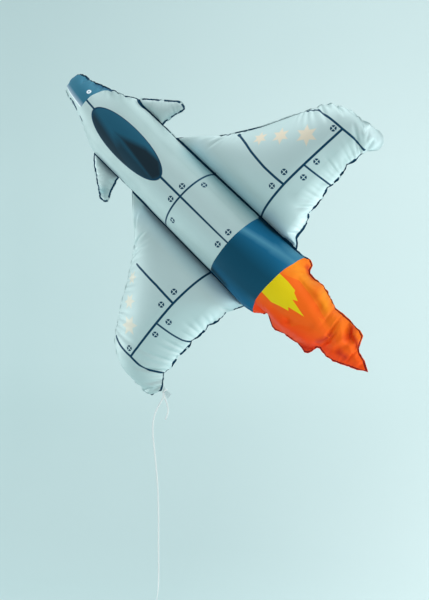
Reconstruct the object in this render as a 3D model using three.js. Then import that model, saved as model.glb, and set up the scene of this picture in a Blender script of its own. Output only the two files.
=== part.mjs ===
// An airplane foil balloon: two printed foil sheets, welded round the edge and along the wing roots, and
// inflated. Each chamber is a front shell and a back shell that meet at the weld, with a flat weld flange
// round the outside.
// Millimetres, +Z up. The balloon hangs nose up to the left, with its printed front towards -Y.
// Inside the group that is tilted, x runs from nose to tail (aft), y from front to back, and z to the right
// wing (side).
// The origin is on the middle line of the body tube, halfway between the canards and the engine band.
import * as THREE from "three";

// Driving dimensions
const tiltDegrees = 43.2; // the tail points down by this much
const wall = 10; // thickness of a shell at its crown
const sheet = 1; // thickness of one sheet in the weld flange
const gap = 0.15; // each face keeps this far from the face that it meets
const flange = 8; // width of the weld flange at a free edge
const tuckedFlange = 3; // its width where a wing or canard is welded on

// Where the body's sections change, along the body from its origin
const noseEnd = -572;
const noseCapEnd = -465;
const canardRoot = { front: -377, back: -264 };
const wingRoot = { front: -220, back: 258 };
const bandFront = 122;
const bandBack = 287;
const flameTip = 620;

// The body tube's half width, at each place along it: [aft, halfWidth, crown height]
const bodySections = [
  [noseEnd, 31, 3],
  [-562, 34, 22],
  [-530, 44, 42],
  [-490, 55, 56],
  [noseCapEnd, 65, 65],
  [-417, 86, 82],
  [-379, 100, 91],
  [-320, 99, 96],
  [-264, 98, 96],
  [wingRoot.front, 98, 95],
  [wingRoot.back, 105.7, 98],
  [bandBack, 106, 96],
];

// The flame's outline: [aft, left edge, right edge, crown height]
const flameSections = [
  [bandBack, -105, 105, 90],
  [308, -96, 106, 78],
  [330, -86, 94, 67],
  [361, -93, 90, 59],
  [392, -81, 88, 51],
  [416, -77, 80, 45],
  [449, -74, 73, 37],
  [474, -70, 71, 31],
  [484, -44, 71, 29],
  [516, -43, 73, 22],
  [545, -36, 62, 15],
  [558, -31, 42, 11],
  [576, -22, 29, 8],
  [598, -13, 20, 5],
  [flameTip, -4, 6, 1],
];

// A wing's sections from root to tip: [leading edge aft, side, trailing edge aft, side, crown height].
// The root's sides follow the body's edge, so they are worked out from it.
const wingSections = [
  [-205, 116, 250, 121, 24],
  [-165, 152, 236, 140, 44],
  [-119, 196, 224, 190, 61],
  [-86, 238, 216, 236, 69],
  [-57, 284, 213, 288, 70],
  [-28, 334, 211, 338, 66],
  [2, 386, 212, 385, 58],
  [24, 422, 214, 418, 48],
  [42, 450, 226, 440, 39],
  [64, 471, 236, 462, 28],
  [94, 486, 228, 480, 16],
  [128, 493, 204, 492, 6],
];

// A canard's sections, in the same columns as a wing's
const canardSections = [
  [-362, 118, -268, 113, 13],
  [-340, 134, -270, 129, 19],
  [-318, 151, -268, 147, 19],
  [-299, 165, -260, 161, 15],
  [-284, 176, -255, 172, 9],
  [-274, 181, -258, 179, 4],
];

// Filler tab on the left wing's trailing corner, gathered where the ribbon is tied round it
const tabThickness = 2.3;
const tabRootRows = [8, 9]; // the rows of wingSections whose trailing edge carries the tab
const tabWaist = 9;
const tabTied = 247; // how far aft the ribbon is tied
const tabLine = -451; // side of the tab's middle line
const tabEnd = { aft: 268, width: 19 };
const knotSection = 2.2; // radius of the ribbon turns in the knot

// Ribbon, with its routes in the part's own frame, because it hangs plumb
const ribbonWidth = 5;
const ribbonSides = 8;
const strandSteps = 56;
const tailSteps = 14;
const strandRoute = [
  [-133.5, 0, -505.7], [-133.6, 0, -512], [-137, -1, -523], [-147, -3, -541], [-157, -5, -563],
  [-163, -5, -590], [-164, -3, -625], [-160, 0, -675], [-155, 3, -734], [-151, 4, -800], [-149, 2, -869],
  [-148, -1, -940], [-147, -2, -1008], [-146, -1, -1060], [-145, 0, -1096], [-145, 0, -1111.7],
];
const tailRoute = [
  [-128, -9.8, -498.4], [-127.6, -13, -499], [-125, -18, -504], [-120, -20, -516], [-115, -18, -532],
  [-113, -15, -548], [-116, -13, -564], [-122, -13, -577],
];
const coilTurnDiameter = 55; // at the middle of the turns
const coilWidth = 11;
const coilDepth = 3;
const coilMiddle = [-145, 0, -1141];
const tieWidth = 5;
const tieThickness = 1;

const root = new THREE.Group();
const balloon = new THREE.Group();
balloon.rotation.y = THREE.MathUtils.degToRad(tiltDegrees);
root.add(balloon);

const finishes = {
  paleFoil: new THREE.MeshStandardMaterial({ color: 0xa9c8cb, roughness: 0.42, metalness: 0.1 }),
  noseFoil: new THREE.MeshStandardMaterial({ color: 0x2f7196, roughness: 0.4, metalness: 0.1 }),
  bandFoil: new THREE.MeshStandardMaterial({ color: 0x1c5378, roughness: 0.4, metalness: 0.1 }),
  flameFoil: new THREE.MeshStandardMaterial({ color: 0xf0701c, roughness: 0.4, metalness: 0.1 }),
  clearFilm: new THREE.MeshStandardMaterial({ color: 0xdfe6e8, roughness: 0.3, metalness: 0 }),
  whiteRibbon: new THREE.MeshStandardMaterial({ color: 0xf2f4f4, roughness: 0.5, metalness: 0 }),
};

// Straight-line reading of a table at a place: column 0 holds the places, in rising order.
function readTable(table, at, column) {
  const last = table.length - 1;
  let i = 0;
  while (i < last - 1 && table[i + 1][0] < at) i++;
  const part = (at - table[i][0]) / (table[i + 1][0] - table[i][0]);
  return table[i][column] + part * (table[i + 1][column] - table[i][column]);
}

function bodyEdge(aft) {
  return readTable(bodySections, aft, 1);
}

// Triangles of a closed body from rings of equal length: sides between rings, and a strip over each end.
function closeRings(rings) {
  const count = rings[0].length;
  const positions = rings.flat(2);
  const index = [];
  for (let r = 0; r + 1 < rings.length; r++) {
    for (let k = 0; k < count; k++) {
      const next = (k + 1) % count;
      const [a, b] = [r * count + k, r * count + next];
      index.push(a, b, a + count, b, b + count, a + count);
    }
  }
  const lastRing = (rings.length - 1) * count;
  for (let k = 0; k < count / 2 - 1; k++) {
    const far = count - 1 - k;
    index.push(k, far, k + 1, k + 1, far, far - 1);
    index.push(lastRing + k, lastRing + k + 1, lastRing + far);
    index.push(lastRing + k + 1, lastRing + far - 1, lastRing + far);
  }
  const geometry = new THREE.BufferGeometry();
  geometry.setAttribute("position", new THREE.Float32BufferAttribute(positions, 3));
  geometry.setIndex(index);
  geometry.computeVertexNormals();
  return geometry;
}

// One ring of a front shell: over the crown from edge a to edge b, then back along the hollow.
// a and b are [aft, side]; flangeA and flangeB are the flange's widths; power rounds or flattens the crown.
function shellRing(section, segments, power) {
  const { a, b, crown, flangeA, flangeB, hollow } = section;
  const length = Math.hypot(b[0] - a[0], b[1] - a[1]);
  const along = [(b[0] - a[0]) / length, (b[1] - a[1]) / length];
  const inset = Math.min(wall, length / 4);
  const point = (distance, height) => [
    a[0] + along[0] * distance,
    -gap - height,
    a[1] + along[1] * distance,
  ];
  const outer = [point(-flangeA, sheet)];
  const inner = [point(-flangeA, 0)];
  for (let j = 0; j <= segments; j++) {
    const angle = (Math.PI * j) / segments;
    const across = (1 - Math.cos(angle)) / 2;
    const rise = Math.sin(angle) ** power;
    outer.push(point(length * across, sheet + crown * rise));
    const depth = hollow ? Math.max(0, crown - wall) : 0;
    inner.push(point(inset + (length - 2 * inset) * across, depth * rise));
  }
  outer.push(point(length + flangeB, sheet));
  inner.push(point(length + flangeB, 0));
  return [...outer, ...inner.reverse()];
}

function shellGeometry(sections, segments, power) {
  return closeRings(sections.map((section) => shellRing(section, segments, power)));
}

function addMesh(group, name, geometry, finish) {
  const mesh = new THREE.Mesh(geometry, finish);
  mesh.name = name;
  group.add(mesh);
  return mesh;
}

// A back shell is a front shell turned over about the body's middle line, so it starts from the other
// side's shape.
function addShellPair(name, front, mirrored, finish) {
  addMesh(balloon, `${name}_front`, front, finish);
  addMesh(balloon, `${name}_back`, mirrored, finish).rotation.x = Math.PI;
}

// Sections between two places on the body, each with its flange: narrow where a wing or canard is welded.
const flangeRun = flange + 4;
const flangeStep = { before: 3, after: 0.5 }; // the two sections where the flange changes its width
const leastSpacing = 2;
const bodySegments = 20;

function bodyFlange(aft) {
  for (const part of [canardRoot, wingRoot]) {
    if (aft > part.front - flangeRun && aft < part.back + flangeRun) return tuckedFlange;
  }
  return flange;
}

function bodyPlaces(from, to) {
  const places = bodySections.map(([aft]) => aft);
  for (const part of [canardRoot, wingRoot]) {
    const [start, end] = [part.front - flangeRun, part.back + flangeRun];
    places.push(start - flangeStep.before, start + flangeStep.after);
    places.push(end - flangeStep.after, end + flangeStep.before);
  }
  const inside = places.filter((aft) => aft > from + leastSpacing && aft < to - leastSpacing);
  return [from, ...inside.sort((p, q) => p - q), to];
}

function bodySection(aft, hollow = true) {
  const halfWidth = bodyEdge(aft);
  const width = bodyFlange(aft);
  const crown = readTable(bodySections, aft, 2);
  return { a: [aft, halfWidth], b: [aft, -halfWidth], crown, flangeA: width, flangeB: width, hollow };
}

// The nose is welded shut across its blunt end, so its first section is flange alone, and the next ones
// are solid.
const noseLipHalfWidth = 29;

function noseSections() {
  const end = bodySection(noseEnd, false);
  const lipAft = noseEnd - flange;
  const lip = { ...end, a: [lipAft, noseLipHalfWidth], b: [lipAft, -noseLipHalfWidth], crown: 0 };
  const rest = bodyPlaces(noseEnd, noseCapEnd - gap).map((aft) => bodySection(aft, aft > noseEnd + wall));
  return [lip, ...rest];
}

function addBody() {
  const sectionsBetween = (from, to) => bodyPlaces(from + gap, to - gap).map((aft) => bodySection(aft));
  const parts = [
    ["nose_cap", noseSections(), finishes.noseFoil],
    ["body_tube", sectionsBetween(noseCapEnd, bandFront), finishes.paleFoil],
    ["engine_band", sectionsBetween(bandFront, bandBack), finishes.bandFoil],
  ];
  for (const [name, sections, finish] of parts) {
    const geometry = shellGeometry(sections, bodySegments, 1);
    addShellPair(name, geometry, geometry.clone(), finish);
  }
}

// The flame is softer than the body, so its crown is flatter at the edges.
const flameSegments = 16;
const flamePower = 1.15;
const flameFlange = 6;

function flameGeometry(turn) {
  const sections = flameSections.map(([aft, left, right, crown], i) => {
    const edges = turn > 0 ? [right, left] : [-left, -right];
    const place = i === 0 ? aft + gap : aft;
    const hollow = i < flameSections.length - 1;
    const [a, b] = edges.map((side) => [place, side]);
    return { a, b, crown, flangeA: flameFlange, flangeB: flameFlange, hollow };
  });
  const last = sections[sections.length - 1];
  const lipAft = flameTip + flameFlange;
  const lip = { ...last, a: [lipAft, last.a[1]], b: [lipAft, last.b[1]], crown: 0 };
  return shellGeometry([...sections, lip], flameSegments, flamePower);
}

// A wing or canard, from the body's edge to its tip; turn is 1 for the right side and -1 for the left.
const wingSegments = 16;
const canardSegments = 10;
const wingPower = 1.1;
const rootCrown = 5;
const leadingSlant = 1.25; // a swept edge's flange is wider along the chord than across the edge
const tipFlange = { aft: 4, side: 8 };

function wingGeometry(rootLine, table, segments, turn) {
  const rootSide = (aft) => bodyEdge(aft) + tuckedFlange + 2 * gap;
  const { front, back } = rootLine;
  const rows = [[front, rootSide(front), back, rootSide(back), rootCrown], ...table];
  const [tipFront, tipFrontSide, tipBack, tipBackSide] = table[table.length - 1];
  rows.push([tipFront + tipFlange.aft, tipFrontSide + tipFlange.side,
    tipBack - tipFlange.aft, tipBackSide + tipFlange.side, 0]);
  const sections = rows.map(([frontAft, frontSide, backAft, backSide, crown]) => {
    const leading = [frontAft, turn * frontSide];
    const trailing = [backAft, turn * backSide];
    return {
      a: turn > 0 ? leading : trailing,
      b: turn > 0 ? trailing : leading,
      crown,
      flangeA: turn > 0 ? flange * leadingSlant : flange,
      flangeB: turn > 0 ? flange : flange * leadingSlant,
      hollow: true,
    };
  });
  return shellGeometry(sections, segments, wingPower);
}

function addWings() {
  const kinds = [
    ["wing", wingRoot, wingSections, wingSegments],
    ["canard", canardRoot, canardSections, canardSegments],
  ];
  for (const [kind, rootLine, table, segments] of kinds) {
    const right = wingGeometry(rootLine, table, segments, 1);
    const left = wingGeometry(rootLine, table, segments, -1);
    addShellPair(`right_${kind}`, right, left, finishes.paleFoil);
    addShellPair(`left_${kind}`, left.clone(), right.clone(), finishes.paleFoil);
  }
}

// The tab starts at the wing's weld flange, narrows where the ribbon is tied round it, and opens out again.
const tabRootSpan = [0.05, 0.95]; // where the tab's root starts and ends between the two rows
const tabWaistRun = knotSection + 0.6; // half the length of the tab's narrow stretch

function addFillerTab() {
  const clearance = 2 * gap + 0.05;
  const [inner, outer] = tabRootRows.map((row) => {
    const [frontAft, frontSide, backAft, backSide] = wingSections[row];
    const length = Math.hypot(backAft - frontAft, backSide - frontSide);
    const reach = flange / length;
    return new THREE.Vector2(
      backAft + (backAft - frontAft) * reach + clearance,
      -(backSide + (backSide - frontSide) * reach),
    );
  });
  const [nearRoot, farRoot] = tabRootSpan.map((part) => inner.clone().lerp(outer, part));
  const half = tabWaist / 2;
  const outline = [
    nearRoot,
    farRoot,
    new THREE.Vector2(tabTied - tabWaistRun, tabLine - half),
    new THREE.Vector2(tabTied + tabWaistRun, tabLine - half),
    new THREE.Vector2(tabEnd.aft, tabLine - tabEnd.width / 2),
    new THREE.Vector2(tabEnd.aft, tabLine + tabEnd.width / 2),
    new THREE.Vector2(tabTied + tabWaistRun, tabLine + half),
    new THREE.Vector2(tabTied - tabWaistRun, tabLine + half),
  ];
  const shape = new THREE.Shape(outline);
  const geometry = new THREE.ExtrudeGeometry(shape, { depth: tabThickness, bevelEnabled: false });
  const tab = addMesh(balloon, "filler_tab", geometry, finishes.clearFilm);
  tab.rotation.x = Math.PI / 2;
  tab.position.y = tabThickness / 2;
}

// The knot is a ring of ribbon round the tab's waist.
const knotRadius = Math.hypot(tabWaist, tabThickness) / 2 + 2 * gap + knotSection;

const roundSides = { knotSection: 8, knotRing: 18, coilRing: 28 };

function addKnot() {
  const profile = [];
  for (let k = 0; k <= roundSides.knotSection; k++) {
    const angle = (2 * Math.PI * k) / roundSides.knotSection;
    const [out, along] = [Math.cos(angle), Math.sin(angle)].map((part) => knotSection * part);
    profile.push(new THREE.Vector2(knotRadius + out, along));
  }
  const ring = new THREE.LatheGeometry(profile, roundSides.knotRing);
  const knot = addMesh(balloon, "ribbon_knot", ring, finishes.whiteRibbon);
  knot.rotation.z = Math.PI / 2;
  knot.position.set(tabTied, 0, tabLine);
}

function ribbonTube(route, steps) {
  const places = route.map((place) => new THREE.Vector3(...place));
  const curve = new THREE.CatmullRomCurve3(places, false, "centripetal");
  const section = new THREE.Shape();
  for (let k = 0; k < ribbonSides; k++) {
    const angle = (2 * Math.PI * k) / ribbonSides;
    const corner = [(ribbonWidth / 2) * Math.cos(angle), (ribbonWidth / 2) * Math.sin(angle)];
    if (k === 0) section.moveTo(...corner);
    else section.lineTo(...corner);
  }
  return new THREE.ExtrudeGeometry(section, { steps, extrudePath: curve, bevelEnabled: false });
}

function addRibbon() {
  addMesh(root, "ribbon_strand", ribbonTube(strandRoute, strandSteps), finishes.whiteRibbon);
  addMesh(root, "ribbon_tail", ribbonTube(tailRoute, tailSteps), finishes.whiteRibbon);
  const [inside, outside] = [-1, 1].map((turn) => coilTurnDiameter / 2 + (turn * coilDepth) / 2);
  const half = coilWidth / 2;
  const profile = [[inside, -half], [outside, -half], [outside, half], [inside, half], [inside, -half]];
  const points = profile.map((place) => new THREE.Vector2(...place));
  const ring = new THREE.LatheGeometry(points, roundSides.coilRing);
  addMesh(root, "ribbon_coil", ring, finishes.whiteRibbon).position.set(...coilMiddle);
}

// The tie is a band of ribbon wound round the coil's turns at one side.
function addTie() {
  const rectangle = (width, height) => [
    new THREE.Vector2(-width / 2, -height / 2), new THREE.Vector2(width / 2, -height / 2),
    new THREE.Vector2(width / 2, height / 2), new THREE.Vector2(-width / 2, height / 2),
  ];
  const [holeDepth, holeWidth] = [coilDepth + 4 * gap, coilWidth + 4 * gap];
  const shape = new THREE.Shape(rectangle(holeDepth + 2 * tieThickness, holeWidth + 2 * tieThickness));
  shape.holes.push(new THREE.Path(rectangle(holeDepth, holeWidth)));
  const geometry = new THREE.ExtrudeGeometry(shape, { depth: tieWidth, bevelEnabled: false });
  const tie = addMesh(root, "ribbon_tie", geometry, finishes.whiteRibbon);
  tie.position.set(coilMiddle[0] + coilTurnDiameter / 2, coilMiddle[1], coilMiddle[2] - tieWidth / 2);
}

addBody();
addShellPair("flame_tail", flameGeometry(1), flameGeometry(-1), finishes.flameFoil);
addWings();
addFillerTab();
addKnot();
addRibbon();
addTie();

export default root;
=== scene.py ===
"""An airplane foil balloon: printed foil sheets welded round the edge and inflated, with a hanging ribbon.

Laid out as an add-on and run as a script. The balloon is modelled flat, in millimetres, with aft along the
body's middle line, side towards the right wing and depth from front to back, and is then tilted into place.
"""

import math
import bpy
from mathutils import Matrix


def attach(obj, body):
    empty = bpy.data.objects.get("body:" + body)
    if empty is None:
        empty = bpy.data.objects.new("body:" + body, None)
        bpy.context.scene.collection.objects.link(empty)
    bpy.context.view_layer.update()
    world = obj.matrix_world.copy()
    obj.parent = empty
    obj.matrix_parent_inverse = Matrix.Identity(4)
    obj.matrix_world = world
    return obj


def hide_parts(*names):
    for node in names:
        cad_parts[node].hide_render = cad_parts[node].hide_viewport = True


bl_info = {
    "name": "Airplane foil balloon",
    "version": (1, 0, 0),
    "blender": (4, 5, 0),
    "location": "View3D > Sidebar > Balloon",
    "description": "Builds an inflated airplane foil balloon with its print, weld flange and ribbon",
    "category": "Object",
}

import bpy
import numpy as np
from bpy.props import FloatProperty, FloatVectorProperty
from mathutils import Vector
from mathutils.geometry import delaunay_2d_cdt

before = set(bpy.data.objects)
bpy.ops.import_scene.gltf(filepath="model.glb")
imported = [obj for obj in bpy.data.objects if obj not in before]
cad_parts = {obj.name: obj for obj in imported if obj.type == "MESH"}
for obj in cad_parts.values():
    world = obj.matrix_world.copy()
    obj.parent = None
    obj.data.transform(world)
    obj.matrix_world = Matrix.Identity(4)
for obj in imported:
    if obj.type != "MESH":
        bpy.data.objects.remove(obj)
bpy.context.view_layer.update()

MM = 0.001
BODY = "root"

# Places along the body, and the body tube's half width and crown height there: aft, half width, crown
NOSE_END, NOSE_CAP_END, BAND_FRONT, BAND_BACK, FLAME_TIP = -588, -465, 122, 287, 628
CANARD_ROOT, WING_ROOT = (-387, -278), (-220, 258)
BODY_SECTIONS = [
    (-587, 16, 3), (-584, 27, 7), (-575, 37, 14), (-560, 42, 24), (-530, 48, 42), (-490, 60, 57),
    (-465, 69, 67), (-417, 86, 83), (-379, 100, 91), (-320, 99, 96), (-264, 98, 96), (-220, 98, 95),
    (258, 105.7, 98), (287, 106, 96),
]
# The flame's outline: aft, left edge, right edge, crown
FLAME_SECTIONS = [
    (300, 99, 112, 80), (310, 92, 110, 76), (319, 81, 105, 72), (325, 80, 90, 68), (334, 84, 84, 66),
    (354, 95, 83, 61), (367, 93, 86, 58), (389, 86, 85, 52), (416, 80, 78, 45), (449, 77, 65, 37),
    (466, 80, 65, 32), (474, 76, 66, 30), (479, 66, 66, 29), (482, 47, 66, 28), (491, 42, 67, 26),
    (517, 47, 68, 22), (540, 43, 66, 16), (553, 37, 61, 13), (560, 34, 46, 11), (569, 29, 28, 9),
    (581, 23, 21, 7), (604, 13, 15, 4), (622, 5, 5, 1),
]
# The column of the flame's right edge (1) and left edge (-1)
FLAME_COLUMN = {1: 2, -1: 1}
# Sections from root to tip: leading edge aft, its side, trailing edge aft, its side
WING_SECTIONS = [
    (-205, 116, 250, 121), (-165, 152, 236, 140), (-119, 196, 224, 190), (-86, 238, 216, 236),
    (-57, 284, 213, 288), (-28, 334, 211, 338), (2, 386, 212, 385), (24, 422, 214, 418),
    (42, 450, 226, 440), (64, 471, 236, 462), (94, 486, 228, 480), (128, 493, 204, 492),
]
CANARD_SECTIONS = [
    (-371, 117, -281, 110), (-348, 135, -277, 120), (-322, 154, -274, 136), (-301, 169, -270, 150),
    (-288, 179, -262, 166), (-277, 182.5, -261, 177),
]


def body_table(column):
    return np.array([row[0] for row in BODY_SECTIONS]), np.array([row[column] for row in BODY_SECTIONS])


def with_flame(body_column, flame_column):
    """Aft and one measure of the body and the flame together."""
    aft, measure = body_table(body_column)
    flame = np.array([(row[0], row[flame_column]) for row in FLAME_SECTIONS])
    return np.append(aft, flame[:, 0]), np.append(measure, flame[:, 1])


def edge_line(turn):
    """Aft and half width of the body and flame together, on the right (turn 1) or the left (-1)."""
    return with_flame(1, FLAME_COLUMN[turn])


def crown_line():
    return with_flame(2, 3)


def body_edge(aft):
    return float(np.interp(aft, *body_table(1)))


def on_edge(aft):
    """The place on the body's right edge at that aft."""
    return aft, body_edge(aft)


# How much longer the flat sheet is cut than the inflated outline, along and across each chamber
NOSE_EXCESS, FLAME_EXCESS, TUBE_EASE = 0.03, 0.05, 0.97
WING_EXCESS, WING_EXCESS_RUN = 0.13, 90.0
CANARD_EXCESS, CANARD_EXCESS_RUN = 0.06, 25.0
# Where a chamber's spare length spreads from, at its root, and how that moves aft with the distance outboard
WING_MIDDLE, WING_SWEEP = 20, 0.33
CANARD_MIDDLE, CANARD_SWEEP = -318, 0.45
# The wings' leading edges stay smooth: how much less spare length they have, from how far outboard, over
# what distance, over which part of the chord, where the tip starts, and the share of it behind
TAUT, TAUT_FROM, TAUT_RUN, TAUT_CHORD, TIP_FROM, TAUT_BEHIND = 0.10, 90.0, 200, 0.5, 400, 0.4
# The search for a plan point: how much narrower the plan is than the sheet, each correction and their number
PLAN_NARROWING, PLAN_CORRECTION, PLAN_TURNS = (1.0, 0.75), 0.6, 60


def quarter_arc(width, height):
    """Length of a quarter of an ellipse."""
    return math.pi / 4 * (3 * (width + height) - np.sqrt((3 * width + height) * (width + 3 * height)))


def smooth_step(value):
    part = np.clip(value, 0.0, 1.0)
    return part * part * (3 - 2 * part)


def chord_share(aft, side):
    """How far back in a wing a point lies: 0 at the leading edge and 1 at the trailing edge."""
    rows = np.array([row for row in WING_SECTIONS if row[1] < TIP_FROM], float)
    front, back = np.interp(side, rows[:, 1], rows[:, 0]), np.interp(side, rows[:, 3], rows[:, 2])
    return (aft - front) / (back - front)


def cut_pattern(plan):
    """Where a point of the inflated balloon's plan lies on the flat sheet that it was cut from."""
    aft, side = plan[:, 0], np.abs(plan[:, 1])
    turn = np.where(plan[:, 1] < 0, -1.0, 1.0)
    half = np.where(turn > 0, np.interp(aft, *edge_line(1)), np.interp(aft, *edge_line(-1)))
    arc = TUBE_EASE * quarter_arc(half, np.interp(aft, *crown_line()))
    outboard = np.maximum(side - half, 0.0)
    is_wing = aft > (CANARD_ROOT[1] + WING_ROOT[0]) / 2
    excess = np.where(is_wing, WING_EXCESS, CANARD_EXCESS)
    run = np.where(is_wing, WING_EXCESS_RUN, CANARD_EXCESS_RUN)
    flat_side = np.where(outboard > 0, arc + outboard * (1 + excess), side / half * arc)
    taut = 1 - (1 - TAUT_BEHIND) * smooth_step(chord_share(aft, side) / TAUT_CHORD)
    taken = TAUT * taut * np.clip(outboard - TAUT_FROM, 0, TAUT_RUN)
    flat_side = flat_side - np.where(is_wing, taken, 0)
    middle = np.where(is_wing, WING_MIDDLE + WING_SWEEP * outboard, CANARD_MIDDLE + CANARD_SWEEP * outboard)
    flat_aft = aft + (aft - middle) * excess * smooth_step(outboard / run)
    flat_aft = flat_aft + NOSE_EXCESS * np.minimum(aft - CANARD_ROOT[0], 0.0)
    flat_aft = flat_aft + FLAME_EXCESS * np.maximum(aft - BAND_BACK, 0.0)
    return np.stack([flat_aft, turn * flat_side], 1)


def plan_of(flat):
    """The plan point that each point of the flat sheet comes from."""
    plan = flat * PLAN_NARROWING
    for _ in range(PLAN_TURNS):
        plan = plan + PLAN_CORRECTION * (flat - cut_pattern(plan))
    return plan


# How finely a line is cut between two of its points
SPLINE_CUTS = 12


def spline(points):
    """A Catmull-Rom line through the points, cut finely, and how far along it each cut is."""
    points = np.array(points, float)
    ends = np.vstack([2 * points[0] - points[1], points, 2 * points[-1] - points[-2]])
    fine = []
    for p0, p1, p2, p3 in zip(ends, ends[1:], ends[2:], ends[3:]):
        t = np.linspace(0, 1, SPLINE_CUTS, endpoint=False)[:, None]
        fine.append(0.5 * (2 * p1 + (p2 - p0) * t + (2 * p0 - 5 * p1 + 4 * p2 - p3) * t * t
                           + (3 * p1 - p0 - 3 * p2 + p3) * t ** 3))
    line = np.vstack(fine + [points[-1:]])
    return line, np.append(0, np.cumsum(np.linalg.norm(np.diff(line, axis=0), axis=1)))


def places_at(marks, line, reach):
    return np.stack([np.interp(marks, reach, column) for column in line.T], 1)


def smooth_run(points, step, stops=()):
    """A smooth line through the points, cut into even steps of about that length, without its last point.

    A stop is the number of a point that a step has to end on."""
    line, reach = spline(points)
    ends = [0, *[reach[SPLINE_CUTS * stop] for stop in stops], reach[-1]]
    marks = [
        np.linspace(low, high, max(1, round((high - low) / step)), endpoint=False)
        for low, high in zip(ends, ends[1:])
    ]
    return places_at(np.concatenate(marks), line, reach)


def smooth_path(points, step):
    """An even line through points in space, with both ends."""
    line, reach = spline(points)
    return places_at(np.linspace(0, reach[-1], max(2, round(reach[-1] / step)) + 1), line, reach)


def straight_run(start, end, step):
    start, end = np.array(start, float), np.array(end, float)
    count = max(1, round(np.linalg.norm(end - start) / step))
    return start + (end - start) * np.linspace(0, 1, count, endpoint=False)[:, None]


def lobe_points(root, sections):
    """A wing's or canard's outline, from the front of its root round the tip to the back of its root."""
    leading = [(row[0], row[1]) for row in sections]
    trailing = [(row[2], row[3]) for row in sections]
    return [on_edge(root[0]), *leading, *trailing[::-1], on_edge(root[1])]


# How far the body's places keep from the front of the canard's root
ROOT_CLEAR = 3


def side_outline(turn, step):
    """One side's outline, from the middle of the nose to just before the flame's tip, and its root lines."""
    edge = [(row[0], row[1]) for row in BODY_SECTIONS]
    front = [place for place in edge if place[0] < CANARD_ROOT[0] - ROOT_CLEAR] + [on_edge(CANARD_ROOT[0])]
    canard = lobe_points(CANARD_ROOT, CANARD_SECTIONS)
    wing = lobe_points(WING_ROOT, WING_SECTIONS)
    flame = [on_edge(BAND_BACK)] + [(row[0], row[FLAME_COLUMN[turn]]) for row in FLAME_SECTIONS]
    runs = [
        straight_run((NOSE_END, 0), edge[0], step),
        smooth_run(front, step / 2, [front.index(on_edge(NOSE_CAP_END))]),
        smooth_run(canard, step / 2),
        straight_run(canard[-1], wing[0], step),
        smooth_run(wing, step),
        straight_run(wing[-1], flame[0], step),
        smooth_run(flame, step, range(1, len(flame) - 1)),
    ]
    border = on_edge(BAND_FRONT)
    roots = [
        np.vstack([straight_run(canard[0], canard[-1], step), canard[-1]]),
        np.vstack([straight_run(wing[0], border, step), straight_run(border, wing[-1], step), wing[-1]]),
    ]
    mirror = (1, turn)
    return np.vstack(runs) * mirror, [line * mirror for line in roots]


def inside_outline(points, outline):
    """Whether each point is inside a closed outline, by counting the edges that lie past it."""
    inside = np.zeros(len(points), bool)
    for (ax, ay), (bx, by) in zip(outline, np.roll(outline, -1, axis=0)):
        spans = (ay > points[:, 1]) != (by > points[:, 1])
        with np.errstate(divide="ignore", invalid="ignore"):
            cross = (bx - ax) * (points[:, 1] - ay) / (by - ay) + ax
        inside ^= spans & (points[:, 0] < cross)
    return inside


def far_from(points, others, least):
    """Points further than least from every one of the others."""
    keep = np.ones(len(points), bool)
    for other in others:
        keep &= np.sum((points - other) ** 2, axis=1) > least * least
    return points[keep]


# The weld flange's width, how narrow it gets in an inner corner, and its share of the distance to the corner
FLANGE, CORNER_FLANGE, CORNER_SHARE = 4.0, 2.0, 0.45
# How far the weld is drawn in at each pucker and let out between: behind the right (1) and left (-1) wings,
# and at the tips
PUCKER = {1: (-6.0, 0.0, 3.0, 3.0, 0.0), -1: (-4.5, 1.0, 2.5, 1.0)}
TIP_PUCKER = (-2.0, 2.0)
# Where the puckers behind the wings start, outboard and aft, and those at the tips, outboard
PUCKER_SIDE, PUCKER_AFT, PUCKER_TIP = 125, 205, 400
NOSE_LEAN, LEAN_FROM, LEAN_RUN = 9.0, -380, 130
# The wings aren't quite alike: how far back each leading edge is drawn at a side, and how far out each tip at
# an aft, for the right (1) and the left (-1)
WING_LEAD = {
    1: [(240, 0), (290, 5), (440, 5), (480, 0)],
    -1: [(200, 0), (250, -7), (300, -7), (340, -12), (440, -13), (470, -6), (485, 0)],
}
TIP_REACH = {
    1: [(40, 0), (62, -5), (90, -9), (150, -8), (190, 0), (215, 7), (240, 7)],
    -1: [(80, 0), (110, -5), (150, 0)],
}
LEAD_SIDE, LEAD_SHARE, TIP_SIDE = 130, 0.4, 430
# How far out the body's right edge is set along the nose and brow, and its left edge at the band, by aft
RIGHT_BROW = [
    (-588, -7), (-560, -6), (-530, -8.5), (-518, -8.5), (-498, -6), (-466, -4), (-421, -4), (-404, 3),
    (-387, 6.5), (-380, 4), (-365, 0),
]
LEFT_BAND, BODY_WIDEST = [(150, 0), (240, -8), (280, -11), (300, -9), (335, 0)], 112


def change_at(value, places):
    """A change read from a list of places and the changes there."""
    return np.interp(value, *np.transpose(places))


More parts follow.
